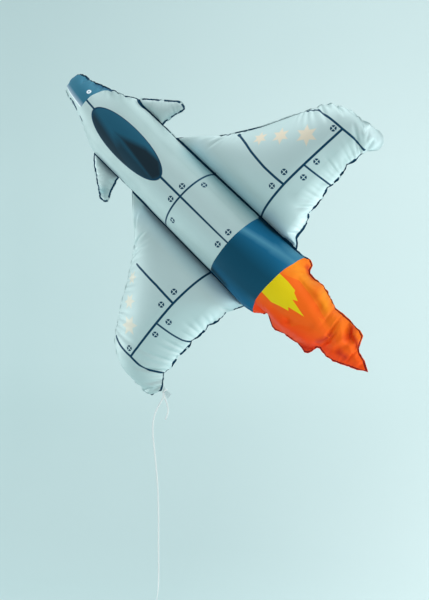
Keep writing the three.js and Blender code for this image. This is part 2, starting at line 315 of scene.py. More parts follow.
def drawn_in(outline):
    """The outline with the puckers of the wings' trailing edges and tips, and the nose's slight lean."""
    aft, side = outline[:, 0], np.abs(outline[:, 1])
    on_side = {turn: turn * outline[:, 1] > 0 for turn in (1, -1)}
    number = np.arange(len(outline))
    offset = np.zeros(len(outline))
    for turn, pucker in PUCKER.items():
        trailing = (side > PUCKER_SIDE) & (aft >= PUCKER_AFT) & on_side[turn]
        offset = np.where(trailing, np.take(pucker, number % len(pucker)), offset)
    tip = (side > PUCKER_TIP) & (aft > 0) & (aft < PUCKER_AFT)
    offset = np.where(tip, np.take(TIP_PUCKER, number % len(TIP_PUCKER)), offset)
    for turn, reach in TIP_REACH.items():
        offset += np.where((side > TIP_SIDE) & on_side[turn], change_at(aft, reach), 0.0)
    pinned = outline + outward_of(outline) * offset[:, None]
    in_front = (side > LEAD_SIDE) & (aft > WING_ROOT[0]) & (chord_share(aft, side) < LEAD_SHARE)
    for turn, lead in WING_LEAD.items():
        pinned[:, 0] += np.where(in_front & on_side[turn], change_at(side, lead), 0.0)
    pinned[:, 1] += NOSE_LEAN * np.clip((LEAN_FROM - aft) / LEAN_RUN, 0, 1)
    pinned[:, 1] += np.where(on_side[1], change_at(aft, RIGHT_BROW), 0.0)
    pinned[:, 1] -= np.where(on_side[-1] & (side < BODY_WIDEST), change_at(aft, LEFT_BAND), 0.0)
    return pinned


def nearest(points, place):
    return int(np.argmin(np.sum((points - place) ** 2, axis=1)))


def outward_of(outline):
    """The outward direction at each point of a closed outline."""
    after, before = np.roll(outline, -1, axis=0), np.roll(outline, 1, axis=0)
    along = (after - before) / np.linalg.norm(after - before, axis=1)[:, None]
    turn = np.sign(np.sum(outline[:, 0] * after[:, 1] - outline[:, 1] * after[:, 0]))
    return turn * np.stack([along[:, 1], -along[:, 0]], 1)


def flange_outline(plan, corners):
    """The flange's outer edge: each point of the outline moved out, less where an inner corner is near."""
    outward = outward_of(plan)
    gap = np.min([np.linalg.norm(plan - corner, axis=1) for corner in corners], axis=0)
    width = np.clip(CORNER_SHARE * gap, CORNER_FLANGE, FLANGE)
    return plan + outward * width[:, None]


PARTS = [
    "nose_cap", "body_tube", "engine_band", "flame_tail", "right_wing", "left_wing", "right_canard",
    "left_canard",
]
FIRST_WING, FIRST_CANARD = 4, 6
# How far past the ends of its root a wing or canard still counts as one, in front and behind
LOBE_FRONT, LOBE_BACK = 40, 30
# The bow of the border between band and flame: how far aft at a part of the half width, and where it counts
BORDER_BOW = [(-1.0, 0), (-0.76, -7), (-0.44, -11.5), (-0.05, -12), (0.3, -10), (0.8, 1), (1.0, 8)]
BOW_FROM = BAND_FRONT + 20


def border_bow(plan):
    return change_at(plan[:, 1] / body_edge(BAND_BACK), BORDER_BOW)


def part_of(plan):
    """The number of the part that each point of the plan is in."""
    aft, side = plan[:, 0], plan[:, 1]
    unbowed = np.where(aft > BOW_FROM, aft - border_bow(plan), aft)
    part = np.searchsorted([NOSE_CAP_END, BAND_FRONT, BAND_BACK], unbowed)
    past_root = np.abs(side) > np.interp(aft, *body_table(1))
    for first, (front, back) in ((FIRST_WING, WING_ROOT), (FIRST_CANARD, CANARD_ROOT)):
        here = past_root & (aft > front - LOBE_FRONT) & (aft < back + LOBE_BACK)
        part = np.where(here, np.where(side > 0, first, first + 1), part)
    return part


# The least gap between the weld's points and the points inside, as a share of a step
LATTICE_CLEAR = 0.62


class Sheets:
    """Both foil sheets and their weld flange, as points and the triangles of the front, back and flange.

    plan is where a point lies in the inflated outline, flat where it lies on the flat sheet, inset how far it
    is from a weld on the flat sheet and place where it is now, all in millimetres."""

    columns = ("plan", "flat", "inset", "place")

    def __init__(self, step):
        right, right_roots = side_outline(1, step)
        left, left_roots = side_outline(-1, step)
        self.outline = np.vstack([right, [[FLAME_TIP, 1.0]], left[1:][::-1]])
        count = len(self.outline)
        self.edge = [(i, (i + 1) % count) for i in range(count)]
        roots = right_roots + left_roots
        corners = [line[end] for line in roots for end in (0, -1)]
        welds, chains = self.add_lines(self.outline, roots)
        borders = []
        for aft in (NOSE_CAP_END, BAND_FRONT, BAND_BACK):
            start, end = (aft, -body_edge(aft)), (aft, body_edge(aft))
            line = np.vstack([straight_run(start, end, step), end])
            if aft == BAND_BACK:
                line[:, 0] += border_bow(line)
            borders.append(line)
        fixed, border_chains = self.add_lines(welds, borders)
        flat = cut_pattern(fixed)
        lattice = self.lattice(flat, flat[:count], step)
        pairs = self.edge + chains + border_chains
        bridges = self.bridges(self.triangulate(flat, lattice, pairs), len(welds), self.edge + chains)
        lattice = np.vstack([lattice, flat[bridges].mean(1)])
        faces = self.triangulate(flat, lattice, pairs)
        self.assemble(welds, np.vstack([fixed[len(welds):], plan_of(lattice)]), faces, corners)

    @staticmethod
    def triangulate(flat, lattice, pairs):
        places = [Vector(place) for place in np.vstack([flat, lattice])]
        return np.array(delaunay_2d_cdt(places, pairs, [], 1, 1e-6)[2])

    @staticmethod
    def bridges(faces, weld_count, welded):
        """The sides of triangles that run from weld to weld across a chamber, where the sheets stay apart."""
        sides = {frozenset((face[i], face[i - 1])) for face in faces.tolist() for i in range(3)}
        sides -= {frozenset(pair) for pair in welded}
        return np.array([sorted(side) for side in sides if max(side) < weld_count])

    @staticmethod
    def add_lines(points, lines):
        """Adds each line's inner points, and gives the pairs that join it up from end to end."""
        points, pairs = list(points), []
        for line in lines:
            ends = [nearest(np.array(points), line[end]) for end in (0, -1)]
            chain = [ends[0], *range(len(points), len(points) + len(line) - 2), ends[1]]
            points += list(line[1:-1])
            pairs += list(zip(chain, chain[1:]))
        return np.array(points), pairs

    @staticmethod
    def lattice(flat, flat_outline, step):
        """Evenly spaced points inside the flat outline, clear of the points that are already there."""
        low, high = flat.min(0), flat.max(0)
        rows = []
        for row, side in enumerate(np.arange(low[1], high[1], step * math.sqrt(3) / 2)):
            aft = np.arange(low[0] + (row % 2) * step / 2, high[0], step)
            rows.append(np.stack([aft, np.full_like(aft, side)], 1))
        points = np.vstack(rows)
        points = points[inside_outline(points, flat_outline)]
        return far_from(points, flat, LATTICE_CLEAR * step)

    def assemble(self, welds, inner, faces, corners):
        """Numbers the points: welds, inside of the front, inside of the back, outer edge of the flange."""
        flange = flange_outline(self.outline, corners)
        pins = np.vstack([drawn_in(self.outline), welds[len(self.outline):]])
        self.plan = np.vstack([pins, inner, inner, flange])
        flat, flat_inner = cut_pattern(welds), cut_pattern(inner)
        self.flat = np.vstack([flat, flat_inner, flat_inner, self.flat_flange(flange, flat)])
        inset = np.array([np.min(np.linalg.norm(flat - point, axis=1)) for point in flat_inner])
        width = np.linalg.norm(flange - self.outline, axis=1)
        self.inset = np.concatenate([np.zeros(len(welds)), inset, inset, -width])
        self.place = np.stack([self.plan[:, 0], np.zeros(len(self.plan)), self.plan[:, 1]], 1)
        first_flange = len(welds) + 2 * len(inner)
        self.front = faces
        self.back = np.where(faces >= len(welds), faces + len(inner), faces)[:, ::-1]
        self.flange = np.array([
            triangle for i, j in self.edge
            for triangle in ((i, j, first_flange + i), (j, first_flange + j, first_flange + i))
        ])
        self.front_part = part_of(np.vstack([welds, inner])[self.front].mean(1))
        self.back_part = self.front_part.copy()
        owner = {
            frozenset((face[i], face[i - 1])): part
            for face, part in zip(self.front, self.front_part) for i in range(3)
        }
        self.flange_part = np.repeat([owner[frozenset(pair)] for pair in self.edge], 2)

    def flat_flange(self, flange, flat):
        """The flange is as wide on the flat sheet as on the plan, and lies square to the flat outline."""
        edge = flat[:len(flange)]
        return edge + outward_of(edge) * np.linalg.norm(flange - self.outline, axis=1)[:, None]

    def triangles(self):
        return np.vstack([self.front, self.back, self.flange])

    def welded(self):
        """Whether each point is shared by the front and the back."""
        shared = np.zeros(len(self.plan), bool)
        shared[np.intersect1d(self.front, self.back)] = True
        return shared

    def split(self):
        """Cuts each triangle into four."""
        edges, sides = unique_edges(self.triangles())
        ab, bc, ca = sides + len(self.plan)
        a, b, c = self.triangles().T
        for name in self.columns:
            values = getattr(self, name)
            middle = (values[edges[:, 0]] + values[edges[:, 1]]) / 2
            setattr(self, name, np.concatenate([values, middle]))
        parts = np.stack([np.stack(t, 1) for t in ((a, ab, ca), (ab, b, bc), (ca, bc, c), (ab, bc, ca))], 1)
        start = 0
        for name in ("front", "back", "flange"):
            end = start + len(getattr(self, name))
            setattr(self, name, parts[start:end].reshape(-1, 3))
            setattr(self, name + "_part", np.repeat(getattr(self, name + "_part"), 4))
            start = end


def unique_edges(triangles):
    """Each edge once, as a pair of points, and the number of the edge at each triangle's three sides."""
    a, b, c = triangles.T
    pairs = np.sort(np.concatenate([np.stack([a, b], 1), np.stack([b, c], 1), np.stack([c, a], 1)]), axis=1)
    edges, place = np.unique(pairs, axis=0, return_inverse=True)
    return edges, place.reshape(3, -1)


def sum_at(index, values, size):
    """Adds up the rows of values that belong to each point."""
    return np.stack([np.bincount(index, values[:, k], size) for k in range(values.shape[1])], 1)


# How much of its speed a point keeps, how far a length is put right at once, how firmly the weld is kept
# flat, and the least area that a point stands for, as a share of the mean
CALM, GRIP, FLAT_HOLD, LEAST_AREA = 0.985, 1.7, 0.3, 0.3


def flat_areas(flat, triangles):
    a, b, c = (flat[triangles[:, k]] for k in range(3))
    return np.abs((b - a)[:, 0] * (c - a)[:, 1] - (b - a)[:, 1] * (c - a)[:, 0]) / 2


class Inflation:
    """Lets gas push the sheets apart while the foil keeps its lengths, so spare length gathers in puckers."""

    def __init__(self, sheets):
        self.sheets = sheets
        triangles = sheets.triangles()
        edges = np.sort(np.vstack([triangles[:, [0, 1]], triangles[:, [1, 2]], triangles[:, [2, 0]]]), axis=1)
        far = np.concatenate([triangles[:, 2], triangles[:, 0], triangles[:, 1]])
        order = np.lexsort((edges[:, 1], edges[:, 0]))
        edges, far = edges[order], far[order]
        same = np.all(edges[1:] == edges[:-1], axis=1)
        self.hinges = np.stack([far[:-1][same], far[1:][same]], 1)
        self.edges = np.unique(edges, axis=0)
        self.size = len(sheets.plan)
        self.rest = self.flat_length(self.edges)
        self.hinge_rest = self.flat_length(self.hinges)
        self.share = 1 / np.maximum(np.bincount(self.edges.ravel(), minlength=self.size), 1)
        self.hinge_share = 1 / np.maximum(np.bincount(self.hinges.ravel(), minlength=self.size), 1)
        self.gas = np.vstack([sheets.front, sheets.back])
        own = np.bincount(self.gas.ravel(), np.repeat(flat_areas(sheets.flat, self.gas), 3), self.size) / 3
        self.gas_share = 1 / np.maximum(own, own[own > 0].mean() * LEAST_AREA)
        self.weld = sheets.welded()

    def flat_length(self, pairs):
        flat = self.sheets.flat
        return np.linalg.norm(flat[pairs[:, 0]] - flat[pairs[:, 1]], axis=1)

    def push(self, place):
        """Gas pressure at each point, as an outward vector of about length 1."""
        a, b, c = (place[self.gas[:, k]] for k in range(3))
        normal = np.cross(b - a, c - a) / 6
        total = sum_at(self.gas.T.ravel(), np.vstack([normal] * 3), self.size)
        return total * self.gas_share[:, None]

    def keep_lengths(self, place, pairs, rest, share, grip, slack):
        """Moves a pair's ends towards their flat distance: fully when stretched, by slack when pressed."""
        apart = place[pairs[:, 1]] - place[pairs[:, 0]]
        length = np.maximum(np.linalg.norm(apart, axis=1), 1e-6)
        over = (length - rest) / length
        over = np.where(over > 0, over, over * slack) * 0.5 * grip
        move = apart * over[:, None]
        total = sum_at(pairs.T.ravel(), np.vstack([move, -move]), self.size)
        return place + total * share[:, None]

    def run(self, steps, lift, slack, bend, hold):
        place, plan, weld = self.sheets.place, self.sheets.plan, self.weld
        speed = np.zeros_like(place)
        for _ in range(steps):
            speed = (speed + lift * self.push(place)) * CALM
            start = place
            place = place + speed
            place = self.keep_lengths(place, self.edges, self.rest, self.share, GRIP, slack)
            place = self.keep_lengths(place, self.hinges, self.hinge_rest, self.hinge_share, bend, 1.0)
            place = self.keep_lengths(place, self.edges, self.rest, self.share, GRIP, slack)
            place[weld, 0] += hold * (plan[weld, 0] - place[weld, 0])
            place[weld, 2] += hold * (plan[weld, 1] - place[weld, 2])
            place[weld, 1] *= 1 - FLAT_HOLD * hold
            speed = place - start
        self.sheets.place = place


# Each level: steps, lift of the gas, how firmly pressed foil keeps its length, stiffness, hold on the weld
LEVELS = [(500, 0.05, 0.15, 0.10, 0.12), (300, 0.012, 0.5, 0.10, 0.12), (250, 0.003, 0.9, 0.10, 0.12)]
COARSE_STEP = 16.0
# The foil's first rise from the weld, up to which distance, and the small unevenness that starts the puckers
FIRST_RISE, FIRST_RISE_RUN = 0.8, 60.0
UNEVENNESS, UNEVENNESS_SEED = 0.4, 7


def inflate():
    """Cuts the sheets, welds them and fills them with gas, from coarse triangles to fine ones."""
    sheets = Sheets(COARSE_STEP)
    rise = FIRST_RISE * np.clip(sheets.inset, 0, FIRST_RISE_RUN)
    turn = np.zeros(len(sheets.plan))
    turn[np.setdiff1d(sheets.front, sheets.back)] = -1
    turn[np.setdiff1d(sheets.back, sheets.front)] = 1
    noise = np.random.default_rng(UNEVENNESS_SEED).normal(0, UNEVENNESS, len(sheets.plan))
    sheets.place[:, 1] = turn * rise + noise
    for level in LEVELS:
        if level != LEVELS[0]:
            sheets.split()
        Inflation(sheets).run(*level)
    return sheets


# Soft folds of the slack flame, as lines on the flat sheet with their height out of the foil and their reach
FOLD_SCALE = 1.25
# Where the folds start aft and over what length they rise, and how far from a weld they are whole
FOLD_START, FOLD_START_RUN, FOLD_CLEAR = 284, 25, 12
FLAME_FOLDS = [
    ((300, 85), (401, 78), 5, 20), ((401, 78), (505, 54), 5, 20), ((330, 62), (413, 42), -5, 13),
    ((413, 42), (495, 12), -5, 13), ((504, 70), (524, 47), -4, 10), ((524, 47), (543, 32), -5, 10),
    ((543, 32), (578, 24), -4, 9), ((512, -36), (540, -8), -4, 10), ((540, -8), (548, 22), -4, 10),
    ((524, -8), (532, 20), 4, 10), ((482, -40), (517, -3), -4, 9), ((450, -84), (484, -70), -6, 12),
    ((518, 60), (534, 37), -6, 9), ((534, 37), (570, 31), -5, 9), ((321, 62), (327, 91), -2.2, 6),
    ((336, 60), (340, 90), -2, 6), ((300, -66), (376, -66), 5, 15), ((376, -66), (440, -52), 4, 14),
    ((323, -42), (376, -40), -4, 10), ((376, -40), (433, -12), -4, 10), ((560, 20), (610, 4), 3, 8),
]


def fold_flame(sheets):
    """Adds the flame's soft folds to both sheets."""
    flat, points = sheets.flat[:, :2], sheets.place
    rise = np.zeros(len(points))
    for start, end, height, reach in FLAME_FOLDS:
        start, end = np.array(start, float), np.array(end, float)
        along = end - start
        share = np.clip((flat - start) @ along / (along @ along), 0, 1)
        gap = np.linalg.norm(flat - start - share[:, None] * along, axis=1)
        rise += FOLD_SCALE * height * np.exp(-(gap / reach) ** 2)
    rise *= smooth_step((flat[:, 0] - FOLD_START) / FOLD_START_RUN) * np.clip(sheets.inset / FOLD_CLEAR, 0, 1)
    for turn, sheet in ((-1, sheets.front), (1, sheets.back)):
        used = np.unique(sheet)
        points[used, 1] += turn * rise[used]


# How far the nose is tilted up to the left, and half the gap between the two sheets
TILT, HALF_GAP = math.radians(43.2), 0.15
AFT_DIRECTION = np.array([math.cos(TILT), 0, -math.sin(TILT)])
SIDE_DIRECTION = np.array([math.sin(TILT), 0, math.cos(TILT)])


def to_world(place):
    """From the balloon's aft, depth and side in millimetres to the row frame in metres."""
    place = np.asarray(place, float)
    depth = np.array([0, 1.0, 0])
    return MM * (place[..., :1] * AFT_DIRECTION + place[..., 1:2] * depth + place[..., 2:] * SIDE_DIRECTION)


def point_normals(place, triangles):
    a, b, c = (place[triangles[:, k]] for k in range(3))
    normal = np.cross(b - a, c - a)
    total = sum_at(triangles.T.ravel(), np.vstack([normal] * 3), len(place))
    return total / np.maximum(np.linalg.norm(total, axis=1), 1e-9)[:, None]


def make_object(name, points, faces, material):
    mesh = bpy.data.meshes.new(name)
    mesh.from_pydata(np.asarray(points).tolist(), [], faces)
    mesh.materials.append(material)
    mesh.polygons.foreach_set("use_smooth", [True] * len(mesh.polygons))
    mesh.update()
    piece = bpy.data.objects.new(name, mesh)
    bpy.context.scene.collection.objects.link(piece)
    return piece


def foil_piece(sheets, name, side, normals, material):
    """One chamber's front or back foil with its half of the flange, as a single surface."""
    number = PARTS.index(name)
    turn = -1 if side == "front" else 1
    sheet = getattr(sheets, side)[getattr(sheets, side + "_part") == number]
    flange = sheets.flange[sheets.flange_part == number]
    if side == "back":
        flange = flange[:, ::-1]
    used, faces = np.unique(sheet, return_inverse=True)
    points, point_normal = sheets.place[used], normals[used]
    prints = np.column_stack([sheets.flat[used], sheets.inset[used]])
    faces = faces.reshape(-1, 3)
    if len(flange):
        rim, rim_faces = np.unique(flange, return_inverse=True)
        rim_normal = point_normals(sheets.place, flange)[rim]
        faces = np.vstack([faces, rim_faces.reshape(-1, 3) + len(points)])
        points = np.vstack([points, sheets.place[rim]])
        point_normal = np.vstack([point_normal, rim_normal])
        prints = np.vstack([prints, np.column_stack([sheets.flat[rim], sheets.inset[rim]])])
    points = points + (0, turn * HALF_GAP, 0)
    piece = make_object(f"{name}_{side}_foil", to_world(points), faces.tolist(), material)
    mesh = piece.data
    mesh.normals_split_custom_set_from_vertices((to_world(point_normal) / MM).tolist())
    attribute = mesh.attributes.new("foil_print", "FLOAT_VECTOR", "POINT")
    attribute.data.foreach_set("vector", prints.ravel())
    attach(piece, BODY)
    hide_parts(f"{name}_{side}")
    return piece


class Paint:
    """A material's nodes, built by calls that take numbers or other nodes' outputs."""

    def __init__(self, name):
        self.material = bpy.data.materials.new(name)
        self.material.use_nodes = True
        self.tree = self.material.node_tree
        self.shader = self.tree.nodes["Principled BSDF"]

    def give(self, socket, value):
        """Links a node's output to a socket, or sets a plain value on it."""
        if isinstance(value, bpy.types.NodeSocket):
            self.tree.links.new(value, socket)
        elif value is not None:
            socket.default_value = value

    def shade(self, values):
        """Gives the shader's named inputs their values."""
        for name, value in values.items():
            self.give(self.shader.inputs[name], value)

    def node(self, kind, *inputs, output=0, **settings):
        made = self.tree.nodes.new("ShaderNode" + kind)
        for name, value in settings.items():
            setattr(made, name, value)
        for socket, value in zip(made.inputs, inputs):
            self.give(socket, value)
        return made.outputs[output]

    def split(self, vector):
        return self.node("SeparateXYZ", vector).node.outputs

    def math(self, operation, *inputs):
        return self.node("Math", *inputs, operation=operation)

    def chain(self, operation, values):
        """An operation on several values, two at a time."""
        result = values[0]
        for value in values[1:]:
            result = self.math(operation, result, value)
        return result

    def times(self, *values):
        return self.chain("MULTIPLY", values)

    def most(self, masks):
        return self.chain("MAXIMUM", masks)

    def vector(self, operation, *inputs):
        output = 1 if operation in ("DOT_PRODUCT", "LENGTH", "DISTANCE") else 0
        return self.node("VectorMath", *inputs, operation=operation, output=output)

    def scaled(self, direction, amount):
        return self.node("VectorMath", direction, None, None, amount, operation="SCALE")

    def step(self, value, low, high, start=0.0, end=1.0):
        """start below low, end above high, and a straight rise between."""
        return self.node("MapRange", value, low, high, start, end)

    def below(self, value, limit, soft=0.5):
        return self.step(value, limit - soft, limit + soft, 1.0, 0.0)

    def above(self, value, limit, soft=0.5):
        return self.step(value, limit - soft, limit + soft)

    def blend(self, mask, under, over):
        """One colour over another where the mask is 1, each a node's output or its red, green and blue."""
        mixed = self.tree.nodes.new("ShaderNodeMix")
        mixed.data_type = "RGBA"
        self.give(mixed.inputs[0], mask)
        for socket, colour in ((mixed.inputs[6], under), (mixed.inputs[7], over)):
            self.give(socket, colour if isinstance(colour, bpy.types.NodeSocket) else (*colour, 1.0))
        return mixed.outputs[2]

    def layers(self, colour, *layers):
        """Lays colours over each other, each with its mask first."""
        for mask, over in layers:
            colour = self.blend(mask, colour, over)
        return colour

    def noise(self, spot, size, detail=2.0):
        """Noise from 0 to 1 with lumps of about that size."""
        return self.node("TexNoise", self.scaled(spot, 1 / size), None, 1.0, detail)

    def bump(self, height, strength, distance):
        """Raises the surface where the height is more than 0."""
        raised = self.node("Bump", strength, distance)
        self.give(raised.node.inputs["Height"], height)
        self.shade({"Normal": raised})

    def gap(self, spot, start, end):
        """How far the spot is from a straight stretch between two flat places."""
        start, end = Vector((*start, 0)), Vector((*end, 0))
        along = (end - start).normalized()
        offset = self.vector("SUBTRACT", spot, start)
        reach = self.node("Clamp", self.vector("DOT_PRODUCT", offset, along), 0.0, (end - start).length)
        return self.vector("DISTANCE", offset, self.scaled(along, reach))

    def line(self, spot, start, end, width):
        """A straight printed line between two flat places."""
        return self.below(self.gap(spot, start, end), width / 2)

    def run(self, spot, places, width):
        """A printed line through several flat places."""
        return self.most([self.line(spot, start, end, width) for start, end in zip(places, places[1:])])

    def streak(self, spot, start, end, reach, strength=1.0):
        """That strength along a straight stretch, fading to 0 at its reach."""
        return self.step(self.gap(spot, start, end), 0.0, reach, strength, 0.0)

    def streaks(self, spot, patches):
        """Soft patches, each a start, an end, a reach and sometimes a strength."""
        return self.most([self.streak(spot, *patch) for patch in patches])

    def shape(self, spot, corners, soft=0.5):
        """A printed shape with straight sides and no hollows."""
        centre = sum((Vector(corner) for corner in corners), Vector((0, 0))) / len(corners)
        gaps = []
        for a, b in zip(corners, corners[1:] + corners[:1]):
            a, b = Vector(a), Vector(b)
            out = Vector((b.y - a.y, a.x - b.x)).normalized()
            out = out if out.dot(a - centre) > 0 else -out
            gaps.append(self.math("SUBTRACT", self.vector("DOT_PRODUCT", spot, (*out, 0)), out.dot(a)))
        return self.below(self.most(gaps), 0.0, soft)

    def rivet(self, spot, centre):
        """A small ring broken into four arcs."""
        offset = self.vector("SUBTRACT", spot, (*centre, 0))
        reach = self.vector("LENGTH", offset)
        aft, side, _ = self.split(self.vector("ABSOLUTE", offset))
        notch = self.above(self.math("MINIMUM", aft, side), RIVET_NOTCH)
        return self.times(self.below(reach, RIVET_OUTER), self.above(reach, RIVET_INNER), notch)

    def star(self, spot, centre, radius):
        """A six-pointed star with narrow points, one of them turned straight up."""
        offset = self.vector("SUBTRACT", spot, (*centre, 0))
        aft, side, _ = self.split(offset)
        angle = self.math("ADD", self.math("ARCTAN2", side, aft), math.copysign(STAR_TURN, centre[1]))
        fold = self.math("PINGPONG", angle, math.pi / STAR_POINTS)
        slope = self.math("COSINE", self.math("SUBTRACT", fold, STAR_SLOPE))
        reach = self.times(self.vector("LENGTH", offset), slope)
        return self.below(reach, radius * math.cos(STAR_SLOPE), STAR_SOFT)


# The print, as places on the flat sheet. The wings' print is the left wing's, mirrored
RIVET_OUTER, RIVET_INNER, RIVET_NOTCH = 8.6, 2.6, 1.0
STAR_POINTS, STAR_TURN, STAR_SLOPE, STAR_SOFT = 6, math.radians(43), math.radians(66), 1.3
LINE, FINE_LINE = 6.4, 5.4
WING_LINES = [
    ((118, 140), (114.5, 298), LINE), ((114.5, 298), (118, 505), LINE), ((-56, 297), (-20, 294.5), LINE),
    ((-20, 294.5), (44, 294), LINE), ((44, 294), (114.5, 297.5), LINE),
]
WING_RIVETS = [(100.5, 489.5), (133, 401), (138.5, 346), (93, 322.5), (94, 273)]
# Lines that differ from wing to wing, each as a run of places with the right wing's side above 0, and the end
# of the painted crease shade along the nose cap's fold
SINGLE_RUNS = [
    ([(-93, 291.3), (-45, 290)], LINE), ([(129, 365), (222, 371.5)], FINE_LINE),
    ([(-91, 291.3), (-89, 291.2)], 11),
    ([(6, 474), (20, 490), (38, 498), (89, 501.5), (136, 505), (178, 511), (226, 515.5)], LINE),
    ([(116, -372), (170, -370), (199, -368), (231, -360)], FINE_LINE),
    ([(28, -515), (78, -509.5), (117, -505.5), (152, -508), (184, -506.5), (223, -494.5)], LINE),
    ([(-480, -48), (-449, -54)], 7.0),
]
STARS = [
    ((-22, 329), 22), ((22.5, 374), 26), ((78.5, 425.5), 31), ((-43, -337.5), 22), ((5.5, -391), 25),
    ((56.5, -440), 31),
]
# How strong the stars' print is, from the left wing to the right one
STAR_STRENGTH = (-300.0, 300.0, 0.55, 0.85)
# How the right wing's print differs from the mirrored left one: its shear and a drift that comes and goes
RIGHT_WING_SHEAR, SHEAR_FROM = 0.043, 60
DRIFT, DRIFT_COMES, DRIFT_GOES = 6.7, (150.0, 270.0), (420.0, 500.0)
BODY_MIDDLE = 6.0
BODY_LINES = [
    ((-480, 0), (-410, 0), FINE_LINE), ((-142, 0), (126, -1), LINE), ((-63, 0), (-63, 150), FINE_LINE),
]
BODY_RIVETS = [(-79.5, 23.0), (-42.5, 69.5), (104.5, 21.5)]
# Widths of the dark lines along the roots: printed lines, drawn wide so that they also paint the creases'
# shade
WING_ROOT_LINE, CANARD_ROOT_LINE = 12.0, 11.0
# Soft patches of painted light and shade on the pale foil: start, end, reach, strength. First the painted
# shade on the body's right side towards the wing
BODY_SHADE = [((-140, 130), (122, 130), 56, 0.7)]
# Painted crease shade, a bluer tint, on the wings beside their roots, on the mirrored print
WING_CREASE_SHADE = [((-150, 172), (250, 176), 42, 0.7)]
# Painted shade on the body's sides and on the right wing's back
PALE_SIDE_SHADE = [
    ((-470, 80), (124, 80), 60, 0.7), ((-440, -70), (124, -70), 42, 0.33), ((166, 290), (170, 500), 26, 0.35),
]
# Painted shade by the canards' trailing edges
CANARD_SHADE = [((-268, 172), (-262, 194), 20, 0.55), ((-312, -232), (-286, -214), 22, 0.6)]
# Painted highlights along the trailing edges, at the right wing's tip and along the canards' leading edges
PALE_HIGHLIGHTS = [
    ((230, 200), (236, 560), 26, 0.9), ((224, -240), (232, -480), 36, 0.8), ((190, 562), (238, 552), 20, 0.8),
    ((-380, 160), (-330, 222), 20, 0.7), ((-382, -160), (-336, -216), 26, 0.8),
]
# Painted shade in the ink's colour: the dark creases beside the left canard and the left wing
LEFT_LIMB_SHADE = [((-336, -128), (-276, -128), 42), ((-150, -133), (112, -138), 34)]
# The cockpit window's middle, half length and half width, and where its rim starts as a part of them
COCKPIT, COCKPIT_RIM = (-284.5, 3.5, 144, 48.5), (0.95, 0.965)
# Painted dark reflections in the window: strength, softness and corners, in parts of its half length and half
# width
COCKPIT_DARK_REFLECTIONS = [
    (0.95, 0.12, [(-0.22, 0.03), (0.12, 0.36), (0.35, 0.60), (0.8, 0.64), (1.05, 0.1), (0.95, -0.45)]),
    (0.84, 0.16, [(-1.0, -0.02), (-0.1, -0.44), (0.5, -0.82), (0.3, -1.1), (-0.6, -1.1), (-1.05, -0.4)]),
    (0.74, 0.2, [(-0.15, -0.10), (1.05, -0.30), (0.85, -0.9), (0.3, -1.1), (-0.4, -1.1)]),
]
# How far the printed edge reaches on each side of the weld: usually, on the flame and nose, and in front
EDGE_LINE, FLAME_EDGE_LINE, NOSE_EDGE_LINE, THIN_EDGE_LINE = 4.7, 2.3, 5.5, 0.8
# Where the edge line gets its full width, aft, and how much further forward that is past these sides
EDGE_FULL, TIP_SIDES, TIP_FORWARD = (50.0, 90.0), (430.0, 480.0), 160.0
# Changes of its width: the left and right leading edges, the right and left tips, the canards, and the brow.
# Each is the product of ramps along one axis (0 aft, 1 side) from a place to a place, with the values there
EDGE_CHANGES = [
    [(1, -150, -170, 0, 1), (0, -240, -225, 0, 1), (0, 40, 60, -2.0, 0)],
    [(1, 150, 160, 0, 1), (0, -240, -225, 0, 1), (0, -85, -65, 2.4, 0)],
    [(1, 500, 520, 0, -6.0)],
    [(1, -470, -500, 0, -3.0), (0, 205, 235, 1, 0)],
    [(0, -260, -225, 2.1, 0)],
    [(0, -405, -400, 1, 0), (1, -20, 20, -3.0, 1.7)],
]
# The edge line is broken where noise of such lumps is below a least value, and whole that much above it
EDGE_LUMPS, EDGE_LEAST, NOSE_EDGE_LEAST, FLAME_EDGE_LEAST, EDGE_WHOLE = 26.0, 0.30, 0.1, 0.26, 0.1
# The foil's finish: how the roughness drifts, and the crinkles, which fade away from the welds
DRIFT_LUMPS, SMOOTHER, ROUGHER = 60.0, 0.04, 0.05
CRINKLE_LUMPS, CRINKLE_FADE, CRINKLE_LEAST = 11.0, (4.0, 45.0), 0.06


def foil_paint(name, settings):
    """A foil material and its coordinates: the spot on the flat sheet, and its aft, side and inset."""
    paint = Paint(name)
    attribute = paint.tree.nodes.new("ShaderNodeAttribute")
    attribute.attribute_name = "foil_print"
    parts = paint.split(attribute.outputs["Vector"])
    paint.shade({"Metallic": settings.metal, "Specular IOR Level": 0.2})
    return paint, paint.node("CombineXYZ", parts[0], parts[1], 0.0), parts


def finish_foil(paint, colour, spot, inset, settings, edge, width, least=EDGE_LEAST):
    """Adds the printed edge, broken where the noise is below least, and the detail that all the foil has."""
    breaks = paint.step(paint.noise(spot, EDGE_LUMPS, 1.0), least, least + EDGE_WHOLE, -2.0, 1.0)
    printed = paint.math("MINIMUM", paint.times(width, breaks), width)
    near = paint.below(paint.math("SUBTRACT", paint.math("ABSOLUTE", inset), printed), 0.0, 0.3)
    rough = (settings.roughness - SMOOTHER, settings.roughness + ROUGHER)
    paint.shade({
        "Base Color": paint.blend(near, colour, edge),
        "Roughness": paint.step(paint.noise(spot, DRIFT_LUMPS), 0.3, 0.7, *rough),
    })
    fade = paint.step(inset, *CRINKLE_FADE, 1.0, CRINKLE_LEAST)
    paint.bump(paint.times(paint.noise(spot, CRINKLE_LUMPS, 3.0), fade), 0.2, 0.002)
    return paint.material


def root_lines_and_crease_shade(paint, mirrored):
    """The dark lines along the wings' and canards' roots: partly print, and partly painted crease shade."""
    masks = []
    for (front, back), width in ((CANARD_ROOT, CANARD_ROOT_LINE), (WING_ROOT, WING_ROOT_LINE)):
        ends = cut_pattern(np.array([on_edge(front), on_edge(back)]))
        masks.append(paint.line(mirrored, *ends, width))
    return masks


